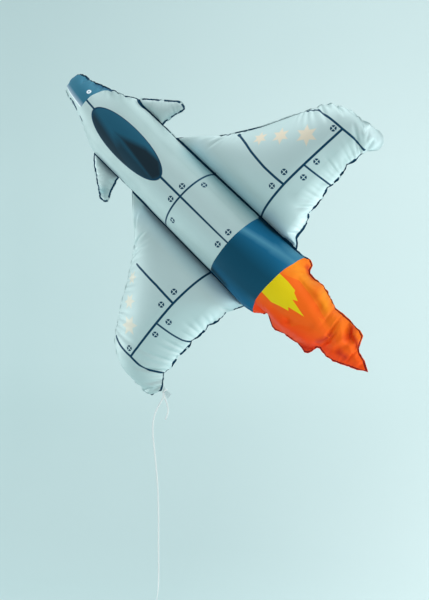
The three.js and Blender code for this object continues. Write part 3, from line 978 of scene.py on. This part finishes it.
def wing_print(paint, aft, side):
    """The spot on the left wing's print that either wing shows."""
    past = paint.math("MAXIMUM", paint.math("SUBTRACT", side, SHEAR_FROM), 0.0)
    sheared = paint.math("SUBTRACT", aft, paint.times(past, RIGHT_WING_SHEAR))
    comes, goes = (paint.step(side, *ramp, 0.0, DRIFT) for ramp in (DRIFT_COMES, DRIFT_GOES))
    drifted = paint.math("ADD", paint.math("ABSOLUTE", side), paint.math("SUBTRACT", comes, goes))
    return paint.node("CombineXYZ", sheared, drifted, 0.0)


def cockpit_window(paint, spot, settings):
    """The cockpit window's mask and colour, with painted dark reflections on the glass."""
    aft, side, length, width = COCKPIT
    offset = paint.vector("SUBTRACT", spot, (aft, side, 0))
    offset = paint.vector("MULTIPLY", offset, (1 / length, 1 / width, 0))
    reach = paint.vector("LENGTH", offset)
    dark_reflections = [paint.times(paint.shape(offset, corners, soft), dark) for dark, soft, corners in COCKPIT_DARK_REFLECTIONS]
    rim = paint.step(reach, *COCKPIT_RIM)
    glass = paint.layers(settings.window, (paint.most(dark_reflections), settings.window_dark), (rim, settings.ink))
    return paint.below(reach, 1.0, 0.008), glass


def pale_edge(paint, parts):
    """The printed edge's width along the body, wings and canards."""
    tip = paint.step(paint.math("ABSOLUTE", parts[1]), *TIP_SIDES, 0.0, TIP_FORWARD)
    width = paint.step(paint.math("SUBTRACT", parts[0], tip), *EDGE_FULL, THIN_EDGE_LINE, EDGE_LINE)
    for ramps in EDGE_CHANGES:
        change = paint.times(*[paint.step(parts[axis], *ramp) for axis, *ramp in ramps])
        width = paint.math("ADD", width, change)
    return width


def pale_foil(settings):
    """The pale foil of the body and wings with its panel lines, rivets, cockpit window and stars, and its
    painted light and shade.
    """
    paint, spot, parts = foil_paint("pale_foil_print", settings)
    aft, side, inset = parts
    wing_spot = wing_print(paint, aft, side)
    across = paint.math("ABSOLUTE", paint.math("SUBTRACT", side, BODY_MIDDLE))
    body_spot = paint.node("CombineXYZ", aft, across, 0.0)
    ink = [paint.run(spot, *run) for run in SINGLE_RUNS] + root_lines_and_crease_shade(paint, wing_spot)
    for place, lines, rivets in ((wing_spot, WING_LINES, WING_RIVETS), (body_spot, BODY_LINES, BODY_RIVETS)):
        ink += [paint.line(place, *line) for line in lines] + [paint.rivet(place, rivet) for rivet in rivets]
    stars = paint.most([paint.star(spot, *star) for star in STARS])
    # Painted light and shade go on first, then the stars, the printed lines and the window
    colour = paint.layers(
        settings.pale,
        (paint.streaks(spot, BODY_SHADE), settings.pale_shade),
        (paint.streaks(wing_spot, WING_CREASE_SHADE), settings.pale_crease),
        (paint.streaks(spot, PALE_SIDE_SHADE), settings.pale_dim),
        (paint.streaks(spot, CANARD_SHADE), settings.pale_shade),
        (paint.streaks(spot, PALE_HIGHLIGHTS), settings.pale_light),
        (paint.streaks(spot, LEFT_LIMB_SHADE), settings.ink),
        (paint.times(stars, paint.step(side, *STAR_STRENGTH)), settings.star),
        (paint.most(ink), settings.ink),
        cockpit_window(paint, spot, settings),
    )
    return finish_foil(paint, colour, spot, inset, settings, settings.ink, pale_edge(paint, parts))


# The small ring on the nose cap, the dark line painted along its fold as crease shade, and the painted glint
# along its pale side
NOSE_RING, NOSE_RING_OUTER, NOSE_RING_INNER = (-485.5, 26.5), 7.2, 2.2
NOSE_FOLD_SHADE, NOSE_FOLD_SHADE_WIDTH = [(-546, -47), (-530, -40), (-510, -37), (-490, -43)], 12.0
NOSE_GLINT, NOSE_GLINT_WIDTH = [(-568, -22), (-474, -22)], 3.4
# The nose cap's pale strip up to a side with its softness, the painted reflection streak beside it, and the
# painted shade along its right edge
NOSE_PALE, NOSE_REFLECTION_STREAK, NOSE_SHADE = (-19.0, 1.5), (-17.0, -5.0), [((-506, 74), (-466, 92), 25)]
NOSE_EDGE_SIDES = (-10.0, 10.0)


def nose_foil(settings):
    """The blue nose cap with a small pale ring, a painted reflection streak and glint on its pale side,
    painted crease shade along its fold and painted shade along its right edge.
    """
    paint, spot, (_, side, inset) = foil_paint("nose_foil_print", settings)
    reach = paint.vector("LENGTH", paint.vector("SUBTRACT", spot, (*NOSE_RING, 0)))
    ring = paint.times(paint.below(reach, NOSE_RING_OUTER), paint.above(reach, NOSE_RING_INNER, 0.8))
    colour = paint.layers(
        settings.nose_streak,
        (paint.step(side, *NOSE_REFLECTION_STREAK), settings.nose),
        (paint.below(side, *NOSE_PALE), settings.pale),
        # Painted glint along the pale side, in the ring's colour
        (paint.run(spot, NOSE_GLINT, NOSE_GLINT_WIDTH), settings.ring),
        (ring, settings.ring),
        # Painted crease shade along the fold, in the ink's colour
        (paint.run(spot, NOSE_FOLD_SHADE, NOSE_FOLD_SHADE_WIDTH), settings.ink),
        (paint.streaks(spot, NOSE_SHADE), settings.nose_dark),
    )
    width = paint.step(side, *NOSE_EDGE_SIDES, THIN_EDGE_LINE, NOSE_EDGE_LINE)
    return finish_foil(paint, colour, spot, inset, settings, settings.ink, width, NOSE_EDGE_LEAST)


# Across the band: from where to where its right and left sides get lighter, as painted light. Then its soft
# patches: the painted highlight streak along it, and the painted shade in its corner on the left and in its
# crease on the right
BAND_LIT_SIDES = [(8.0, 66.0), (-58.0, -100.0)]
BAND_HIGHLIGHT = [
    ((110, 57), (175, 72), 15), ((175, 72), (222, 81), 17), ((222, 81), (292, 96), 22),
    ((262, 118), (298, 132), 48),
]
BAND_CORNER_SHADE, BAND_CREASE_SHADE = [((112, -100), (176, -108), 24)], [((112, 140), (180, 142), 24)]


def band_foil(settings):
    """The dark blue engine band, with painted light on its sides, a painted highlight streak and painted
    shade in its corner and crease.
    """
    paint, spot, (aft, side, inset) = foil_paint("band_foil_print", settings)
    mirrored = paint.node("CombineXYZ", aft, paint.math("ABSOLUTE", side), 0.0)
    colour = paint.layers(
        settings.band_dark,
        (paint.most([paint.step(side, *ramp) for ramp in BAND_LIT_SIDES]), settings.band),
        (paint.streaks(spot, BAND_CORNER_SHADE), settings.band_deep),
        (paint.streaks(spot, BAND_HIGHLIGHT), settings.band_streak),
        (paint.streaks(spot, BAND_CREASE_SHADE), settings.band_deep),
        (paint.most(root_lines_and_crease_shade(paint, mirrored)), settings.ink),
    )
    return finish_foil(paint, colour, spot, inset, settings, settings.ink, EDGE_LINE)


# The two inner flames on the flat sheet, each as shapes without hollows: its broad base and its three points
FLAME_CORE = [
    [(272, 41), (308, 40), (338, 35), (352, 2), (355, -12), (338, -23), (312, -33), (272, -29)],
    [(320, 38), (363, 18.6), (340, 8)], [(345, 13), (404, -0.6), (352, -10)],
    [(350, -6), (362, -17), (335, -24)],
]
FLAME_MIDDLE = [
    [(272, 40), (327, 64), (376, 53), (413, 41), (430, 20), (434, -9), (418, -20), (376, -38), (323, -38.5),
     (272, -34)],
    [(405, 43), (457, 29), (428, 22)], [(428, 24), (501, -1.5), (434, -10)],
    [(376, -36), (397.5, -47), (410, -22)],
]
# Painted shade, deep red, in the flame's folds: where each patch starts and ends, and its reach
FLAME_FOLD_SHADE = [
    ((462, -86), (480, -70), 26), ((530, 66), (538, 34), 20), ((548, 44), (575, 34), 14),
    ((318, 122), (350, 108), 13), ((480, -30), (494, 4), 14), ((548, -14), (572, -10), 14),
]
# Painted highlights, light orange, where the flame starts and on its ridge
FLAME_HIGHLIGHTS = [((288, 92), (338, 88), 50), ((405, 92), (430, 62), 30)]
FOLD_SHADE_STRENGTH, MIDDLE_STRENGTH = 0.8, 0.75
# Where the painted shade on the flame's left side ends, and how far that slants with each millimetre aft
FLAME_SHADE_END, FLAME_SLANT = (-140.0, -56.0), -0.2


def flame_foil(settings):
    """The orange flame with its yellow inner flame and dark red edge, painted lighter on its right side and
    shaded on its left, with painted highlights and painted shade in its folds.
    """
    paint, spot, (aft, side, inset) = foil_paint("flame_foil_print", settings)
    across = paint.math("MULTIPLY_ADD", aft, FLAME_SLANT, side)
    middle, core = (
        paint.most([paint.shape(spot, corners) for corners in flame]) for flame in (FLAME_MIDDLE, FLAME_CORE)
    )
    colour = paint.layers(
        settings.flame_deep,
        (paint.step(across, *FLAME_SHADE_END), settings.flame),
        (paint.streaks(spot, FLAME_HIGHLIGHTS), settings.flame_light),
        (paint.times(paint.streaks(spot, FLAME_FOLD_SHADE), FOLD_SHADE_STRENGTH), settings.flame_red),
        (paint.times(middle, MIDDLE_STRENGTH), settings.flame_middle),
        (core, settings.flame_core),
    )
    paint.shade({"Metallic": 0.15})
    return finish_foil(
        paint, colour, spot, inset, settings, settings.flame_edge, FLAME_EDGE_LINE, FLAME_EDGE_LEAST
    )


# The ribbon's weave: the size of its lumps in metres, and how dim its threads get
WEAVE_LUMPS, WEAVE_DIM = 0.0012, 0.9


def ribbon_material(settings):
    """Thin satin ribbon that lets some light through."""
    paint = Paint("satin_ribbon")
    weave = paint.noise(paint.node("TexCoord", output="Object"), WEAVE_LUMPS)
    colour = paint.blend(weave, [WEAVE_DIM * part for part in settings.ribbon], settings.ribbon)
    paint.shade({"Base Color": colour, "Roughness": 0.35, "Sheen Weight": 0.3, "Alpha": 0.6})
    paint.bump(weave, 0.15, 0.0002)
    return paint.material


def film_material(settings):
    """The filler tab's clear, crinkled film."""
    paint = Paint("clear_film")
    crinkle = paint.noise(paint.node("TexCoord", output="Object"), 0.006, 3.0)
    colour = paint.blend(crinkle, settings.pale, (0.75, 0.82, 0.84))
    paint.shade({"Base Color": colour, "Roughness": 0.2})
    paint.bump(crinkle, 0.6, 0.002)
    return paint.material


# The ribbon's route in the row frame, in millimetres, from the knot down to the coil, and its short tail
STRAND = [
    (-133.5, 0, -505.7), (-133.6, 0, -512), (-137, -1, -523), (-147, -3, -541), (-157, -5, -563),
    (-163, -5, -590), (-164, -3, -625), (-160, 0, -675), (-155, 3, -734), (-151, 4, -800), (-149, 2, -869),
    (-148, -1, -940), (-147, -2, -1008), (-148, -2, -1060),
]
TAIL = [
    (-128, -9.8, -498.4), (-127.6, -13, -499), (-125, -18, -504), (-120, -20, -516), (-115, -18, -532),
    (-113, -15, -548), (-116, -13, -564), (-122, -13, -577),
]
# The last places before the coil, where the ribbon turns its width from the viewer to the coil's depth
BEND = [(-152, -3, -1092), (-153, -4, -1103), (-151.5, -4.6, -1110.5)]
TURN_START, TURN_END = -1000, -1085
COIL_CENTRE, COIL_RADIUS = (-145, 0, -1141), 26.2
COIL_TURNS, COIL_PITCH, COIL_STEP = 2.31, 4.6, 10
# How loosely the coil is wound: the change of its radius, and that change's waves for each turn and its start
COIL_LOOSE, LOOSE_WAVES, LOOSE_START = 0.35, 1.3, 0.4
RIBBON_WIDTH, RIBBON_THICK = 5.0, 0.5
STRAND_STEP, TAIL_STEP = 4.0, 2.0
# The ribbon's section, slightly bulged: across and through it, in half widths and half thicknesses
RIBBON_SECTION = [(-1, -1), (0, -1.3), (1, -1), (1, 1), (0, 1.3), (-1, 1)]


def coil_points():
    """The ribbon's turns, side by side, from the top of the coil round towards +X."""
    centre = np.array(COIL_CENTRE)
    angle = np.radians(np.arange(0, 360 * COIL_TURNS, COIL_STEP))
    turn = angle / (2 * math.pi)
    radius = COIL_RADIUS + COIL_LOOSE * np.sin(angle * LOOSE_WAVES + LOOSE_START)
    depth = COIL_PITCH * (turn - COIL_TURNS / 2)
    return centre + np.stack([radius * np.sin(angle), depth, radius * np.cos(angle)], 1)


def flat_ribbon(name, path, across, material):
    """A ribbon along the path, with its width along the given direction at each point."""
    along = np.gradient(path, axis=0)
    along /= np.linalg.norm(along, axis=1)[:, None]
    wide = across - along * np.sum(across * along, axis=1)[:, None]
    wide /= np.linalg.norm(wide, axis=1)[:, None]
    thick = np.cross(along, wide)
    half_wide, half_thick = RIBBON_WIDTH / 2, RIBBON_THICK / 2
    rings = [path + wide * half_wide * w + thick * half_thick * t for w, t in RIBBON_SECTION]
    points = np.stack(rings, 1).reshape(-1, 3)
    sides, count = len(RIBBON_SECTION), len(path)
    faces = [
        (r * sides + k, r * sides + (k + 1) % sides, (r + 1) * sides + (k + 1) % sides, (r + 1) * sides + k)
        for r in range(count - 1) for k in range(sides)
    ]
    faces += [tuple(range(sides))[::-1], tuple(range((count - 1) * sides, count * sides))]
    piece = make_object(name, points * MM, faces, material)
    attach(piece, BODY)
    return piece


def hang_ribbon(name, places, path, across, material, replaced, **more):
    """A ribbon along the path, made in place of the replaced parts, which it hides. Its places are not used.
    """
    piece = flat_ribbon(name, path, across, material)
    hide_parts(*replaced)


def coat(name, material):
    """Gives one of the frame's own nodes a material."""
    materials = bpy.data.objects[name].data.materials
    materials.clear()
    materials.append(material)


def colour_property(name, description, default):
    return FloatVectorProperty(
        name=name, description=description, default=default, subtype="COLOR", size=3, min=0, max=1
    )


class BalloonSettings(bpy.types.PropertyGroup):
    """Colours and finish that a user would change."""

    pale: colour_property("Pale foil", "Body, wings and canards", (0.53, 0.66, 0.66))
    # Painted shade and light on the pale foil: the body's and canards' shade, the crease tint, the side shade
    # and the highlights
    pale_shade: colour_property("Body shade", "The body's right side", (0.17, 0.385, 0.43))
    pale_crease: colour_property("Wing shade", "The wings beside their roots", (0.60, 0.80, 0.86))
    pale_dim: colour_property("Dim foil", "The body's dim sides", (0.26, 0.36, 0.355))
    pale_light: colour_property("Light foil", "The light trailing edges and canards", (0.80, 0.95, 0.96))
    # The ink's colour also paints crease shade beside the left canard and wing, along the roots and along the
    # nose cap's fold
    ink: colour_property("Ink", "Panel lines, rivets and the printed edge", (0.001, 0.045, 0.095))
    star: colour_property("Stars", "Three stars on each wing", (0.82, 0.69, 0.53))
    nose: colour_property("Nose", "The nose cap", (0.032, 0.175, 0.265))
    # Also the colour of the painted glint on the nose cap's pale side
    ring: colour_property("Ring", "The small ring on the nose cap", (0.78, 0.86, 0.90))
    # Painted shade on the nose cap's right edge, and its painted reflection streak
    nose_dark: colour_property("Nose shade", "The nose cap's dark right edge", (0.002, 0.090, 0.180))
    nose_streak: colour_property("Nose streak", "The nose cap's pale streak", (0.30, 0.40, 0.50))
    # The band's blue painted lit and shaded, with a painted highlight streak and painted deep shade
    band: colour_property("Band", "The engine band's light side", (0.003, 0.122, 0.245))
    band_streak: colour_property("Band streak", "The light streak along the band", (0.060, 0.235, 0.350))
    band_deep: colour_property("Band deep shade", "The engine band's darkest side", (0.001, 0.022, 0.034))
    band_dark: colour_property("Band shade", "The engine band's dark side", (0.002, 0.068, 0.125))
    # The window's glass, and the painted dark reflections on it
    window: colour_property("Window", "The cockpit window's light side", (0.014, 0.106, 0.176))
    window_dark: colour_property("Window shade", "The cockpit window's dark side", (0.009, 0.021, 0.031))
    # The flame's orange painted lit and shaded, with painted highlights and painted shade in its folds
    flame: colour_property("Flame", "The flame's right side", (0.97, 0.172, 0.004))
    flame_light: colour_property("Flame light", "The flame's light patches", (1.0, 0.285, 0.007))
    flame_deep: colour_property("Flame shade", "The flame's deep side", (0.98, 0.064, 0.002))
    flame_middle: colour_property("Flame middle", "The orange inner flame", (0.94, 0.118, 0.003))
    flame_red: colour_property("Flame red", "The red patches in the flame's folds", (0.62, 0.028, 0.008))
    flame_core: colour_property("Flame core", "The yellow inner flame", (0.82, 0.60, 0.002))
    flame_edge: colour_property("Flame edge", "The printed edge of the flame", (0.25, 0.008, 0.006))
    ribbon: colour_property("Ribbon", "The hanging ribbon", (0.95, 0.96, 0.95))
    roughness: FloatProperty(
        name="Foil roughness", description="Roughness of the satin film", default=0.52, min=0.05, max=1,
        subtype="FACTOR",
    )
    metal: FloatProperty(
        name="Metal", description="How metallic the printed film looks", default=0.35, min=0, max=1,
        subtype="FACTOR",
    )


def settings_of(context):
    return context.scene.foil_balloon


class BalloonOperator:
    bl_options = {"REGISTER", "UNDO"}

    @classmethod
    def poll(cls, context):
        return hasattr(context.scene, "foil_balloon")


class BALLOON_OT_camera(BalloonOperator, bpy.types.Operator):
    """Puts the camera where the photograph was taken from"""

    bl_idname = "balloon.camera"
    bl_label = "Camera"

    def execute(self, context):
        camera = bpy.data.objects.new("camera", bpy.data.cameras.new("camera"))
        context.scene.collection.objects.link(camera)
        look = (math.sin(CAMERA_AZIMUTH), -math.cos(CAMERA_AZIMUTH), 0)
        camera.location = Vector(CAMERA_TARGET) + CAMERA_DISTANCE * Vector(look)
        camera.rotation_euler = (math.pi / 2, 0, CAMERA_AZIMUTH)
        camera.data.lens = CAMERA_LENS
        camera.data.sensor_width = CAMERA_SENSOR
        context.scene.camera = camera
        return {"FINISHED"}


class BALLOON_OT_ribbon(BalloonOperator, bpy.types.Operator):
    """Hangs the flat ribbon from the knot, with the length that the photograph doesn't show in a coil"""

    bl_idname = "balloon.ribbon"
    bl_label = "Ribbon"

    def execute(self, context):
        material = ribbon_material(settings_of(context))
        path = smooth_path(STRAND + BEND + coil_points().tolist(), STRAND_STEP)
        near_coil = np.clip((path[:, 2] - TURN_START) / (TURN_END - TURN_START), 0, 1)[:, None]
        front = np.array([math.cos(CAMERA_AZIMUTH), math.sin(CAMERA_AZIMUTH), 0])
        across = front * (1 - near_coil) + np.array([0, 1.0, 0]) * near_coil
        hang_ribbon(
            "hanging_ribbon", STRAND, path, across, material, ("ribbon_strand", "ribbon_coil"),
            with_pieces=["ribbon_tie"],
        )
        path = smooth_path(TAIL, TAIL_STEP)
        across = np.tile(front, (len(path), 1))
        hang_ribbon("ribbon_short_tail", TAIL, path, across, material, ("ribbon_tail",))
        for name in ("ribbon_knot", "ribbon_tie"):
            coat(name, material)
        return {"FINISHED"}


# The foils' makers by slot, and the slot of each part: the wings and canards have the body's
FOIL_MAKERS = {
    "nose_foil": nose_foil, "pale_foil": pale_foil, "band_foil": band_foil, "flame_foil": flame_foil,
}
FOILS = dict(zip(PARTS, [*FOIL_MAKERS] + ["pale_foil"] * 4))


class BALLOON_OT_envelope(BalloonOperator, bpy.types.Operator):
    """Cuts, welds, prints and inflates the two foil sheets"""

    bl_idname = "balloon.envelope"
    bl_label = "Envelope"

    def execute(self, context):
        settings = settings_of(context)
        sheets = inflate()
        fold_flame(sheets)
        materials = {slot: maker(settings) for slot, maker in FOIL_MAKERS.items()}
        chambers = [range(FIRST_WING)] + [[number] for number in range(FIRST_WING, len(PARTS))]
        for side in ("front", "back"):
            part = getattr(sheets, side + "_part")
            for chamber in chambers:
                own = getattr(sheets, side)[np.isin(part, chamber)]
                normals = point_normals(sheets.place, own)
                for number in chamber:
                    name = PARTS[number]
                    piece = foil_piece(sheets, name, side, normals, materials[FOILS[name]])
        return {"FINISHED"}


class BALLOON_OT_filler_tab(BalloonOperator, bpy.types.Operator):
    """Gives the filler tab its clear film"""

    bl_idname = "balloon.filler_tab"
    bl_label = "Filler tab"

    def execute(self, context):
        coat("filler_tab", film_material(settings_of(context)))
        return {"FINISHED"}


# The stage in metres: floor height, distance of the wall behind, the sweep's radius and how often it is cut
FLOOR, WALL, SWEEP, SWEEP_CUTS = -1.32, 1.5, 0.6, 12
STAGE_WIDTH, STAGE_FRONT, STAGE_TOP = 9.0, -5.0, 4.0
# The backdrop's colours: on the left, on the right where painted light makes it lighter, and its painted
# shade
PAPER_LEFT, PAPER_RIGHT, PAPER_SHADE = (0.31, 0.405, 0.41), (0.485, 0.565, 0.565), (0.27, 0.355, 0.36)
# Ramps along the backdrop: its painted light from left to right, its painted shade low down and how that ends
# to the right, and its painted shade high up
PAPER_ACROSS = (-1.4, 1.6)
DIM_LOW, DIM_ACROSS, DIM_HIGH = (-1.2, -0.5, 0.6, 0.0), (-0.5, 0.6, 1.0, 0.0), (0.3, 1.1, 0.0, 0.4)
# How bright the studio is behind the camera, and beside and behind the balloon
DIM_SIDE, BRIGHT_SIDE = 0.40, 1.48
# The soft lights: name, place, what they point at, size, power and colour
LIGHTS = [
    ("low", (1.5, -0.3, -1.3), (0.05, 0, -0.1), (1.6, 1.4), 17, (1.0, 1.0, 1.0)),
    ("left", (-2.5, -0.1, -0.8), (-0.1, 0, -0.1), (1.8, 2.0), 18, (1.0, 0.99, 0.97)),
    ("top", (0.3, 0.1, 1.8), (0, 0, 0), (2.2, 1.0), 9, (0.98, 1.0, 1.0)),
]


def backdrop_material():
    """Pale paper with painted light and shade across it, that glows a little and is clear from behind."""
    paint = Paint("stage_paper")
    place = paint.node("TexCoord", output="Object")
    across, _, up = paint.split(place)
    # Random grain with a painted light ramp from left to right, then painted shade low down and high up
    grain_and_light_ramp = paint.math("MULTIPLY_ADD", paint.noise(place, 0.4), 0.08, paint.step(across, *PAPER_ACROSS))
    low = paint.times(paint.step(up, *DIM_LOW), paint.step(across, *DIM_ACROSS))
    dim = paint.most([low, paint.step(up, *DIM_HIGH)])
    colour = paint.layers(PAPER_LEFT, (grain_and_light_ramp, PAPER_RIGHT), (dim, PAPER_SHADE))
    paint.shade({"Base Color": colour, "Emission Color": colour, "Roughness": 0.9, "Emission Strength": 0.75})
    from_behind = paint.node("NewGeometry", output="Backfacing")
    clear = paint.node("BsdfTransparent")
    surface = paint.node("MixShader", from_behind, paint.shader.outputs[0], clear)
    paint.give(paint.tree.nodes["Material Output"].inputs["Surface"], surface)
    return paint.material


def studio_world():
    """A pale studio all round, brighter behind the balloon than behind the camera."""
    world = bpy.data.worlds.new("studio")
    world.use_nodes = True
    nodes, links = world.node_tree.nodes, world.node_tree.links
    ahead = nodes.new("ShaderNodeSeparateXYZ")
    links.new(nodes.new("ShaderNodeTexCoord").outputs["Generated"], ahead.inputs[0])
    ramp = nodes.new("ShaderNodeMapRange")
    for socket, value in zip(ramp.inputs[1:], (-0.95, 0.0, DIM_SIDE, BRIGHT_SIDE)):
        socket.default_value = value
    links.new(ahead.outputs[1], ramp.inputs[0])
    links.new(ramp.outputs[0], nodes["Background"].inputs["Strength"])
    nodes["Background"].inputs["Color"].default_value = (0.90, 0.98, 1.0, 1)
    return world


def area_light(name, place, target, size, power, colour):
    data = bpy.data.lights.new(name, "AREA")
    data.shape = "RECTANGLE"
    data.size, data.size_y = size
    data.energy = power
    data.color = colour
    light = bpy.data.objects.new(name, data)
    light.location = place
    light.rotation_euler = (Vector(target) - Vector(place)).to_track_quat("-Z", "Y").to_euler()
    bpy.context.scene.collection.objects.link(light)


class BALLOON_OT_stage(BalloonOperator, bpy.types.Operator):
    """Builds the pale floor and backdrop and the soft lights"""

    bl_idname = "balloon.stage"
    bl_label = "Stage"

    def execute(self, context):
        profile = [(STAGE_FRONT, FLOOR), (WALL - SWEEP, FLOOR)]
        for angle in math.pi / 2 * np.arange(1, SWEEP_CUTS + 1) / SWEEP_CUTS:
            profile.append((WALL - SWEEP + SWEEP * math.sin(angle), FLOOR + SWEEP - SWEEP * math.cos(angle)))
        profile.append((WALL, STAGE_TOP))
        points = [(x, y, z) for y, z in profile for x in (-STAGE_WIDTH / 2, STAGE_WIDTH / 2)]
        faces = [(2 * k, 2 * k + 1, 2 * k + 3, 2 * k + 2) for k in range(len(profile) - 1)]
        make_object("stage", points, faces, backdrop_material())
        for light in LIGHTS:
            area_light(*light)
        context.scene.world = studio_world()
        context.scene.view_settings.view_transform = "Standard"
        return {"FINISHED"}


class BALLOON_PT_panel(bpy.types.Panel):
    """Lists the steps that build the balloon"""

    bl_idname = "BALLOON_PT_panel"
    bl_label = "Airplane foil balloon"
    bl_space_type = "VIEW_3D"
    bl_region_type = "UI"
    bl_category = "Balloon"

    def draw(self, context):
        for name in BalloonSettings.__annotations__:
            self.layout.prop(settings_of(context), name)
        for operator in OPERATORS:
            self.layout.operator(operator.bl_idname)


# The photograph's camera: metres, radians, millimetres of lens and sensor
CAMERA_TARGET = (0.022, 0, -0.237)
CAMERA_AZIMUTH = math.radians(19.7)
CAMERA_DISTANCE, CAMERA_LENS, CAMERA_SENSOR = 3.5, 74.55, 36

OPERATORS = [
    BALLOON_OT_camera, BALLOON_OT_ribbon, BALLOON_OT_envelope, BALLOON_OT_filler_tab, BALLOON_OT_stage,
]
CLASSES = [BalloonSettings, *OPERATORS, BALLOON_PT_panel]


def register():
    for item in CLASSES:
        bpy.utils.register_class(item)
    bpy.types.Scene.foil_balloon = bpy.props.PointerProperty(type=BalloonSettings)


def unregister():
    del bpy.types.Scene.foil_balloon
    for item in reversed(CLASSES):
        bpy.utils.unregister_class(item)


def main():
    register()
    bpy.ops.balloon.camera()
    bpy.ops.balloon.ribbon()
    bpy.ops.balloon.envelope()
    bpy.ops.balloon.filler_tab()
    bpy.ops.balloon.stage()


if __name__ == "__main__":
    main()
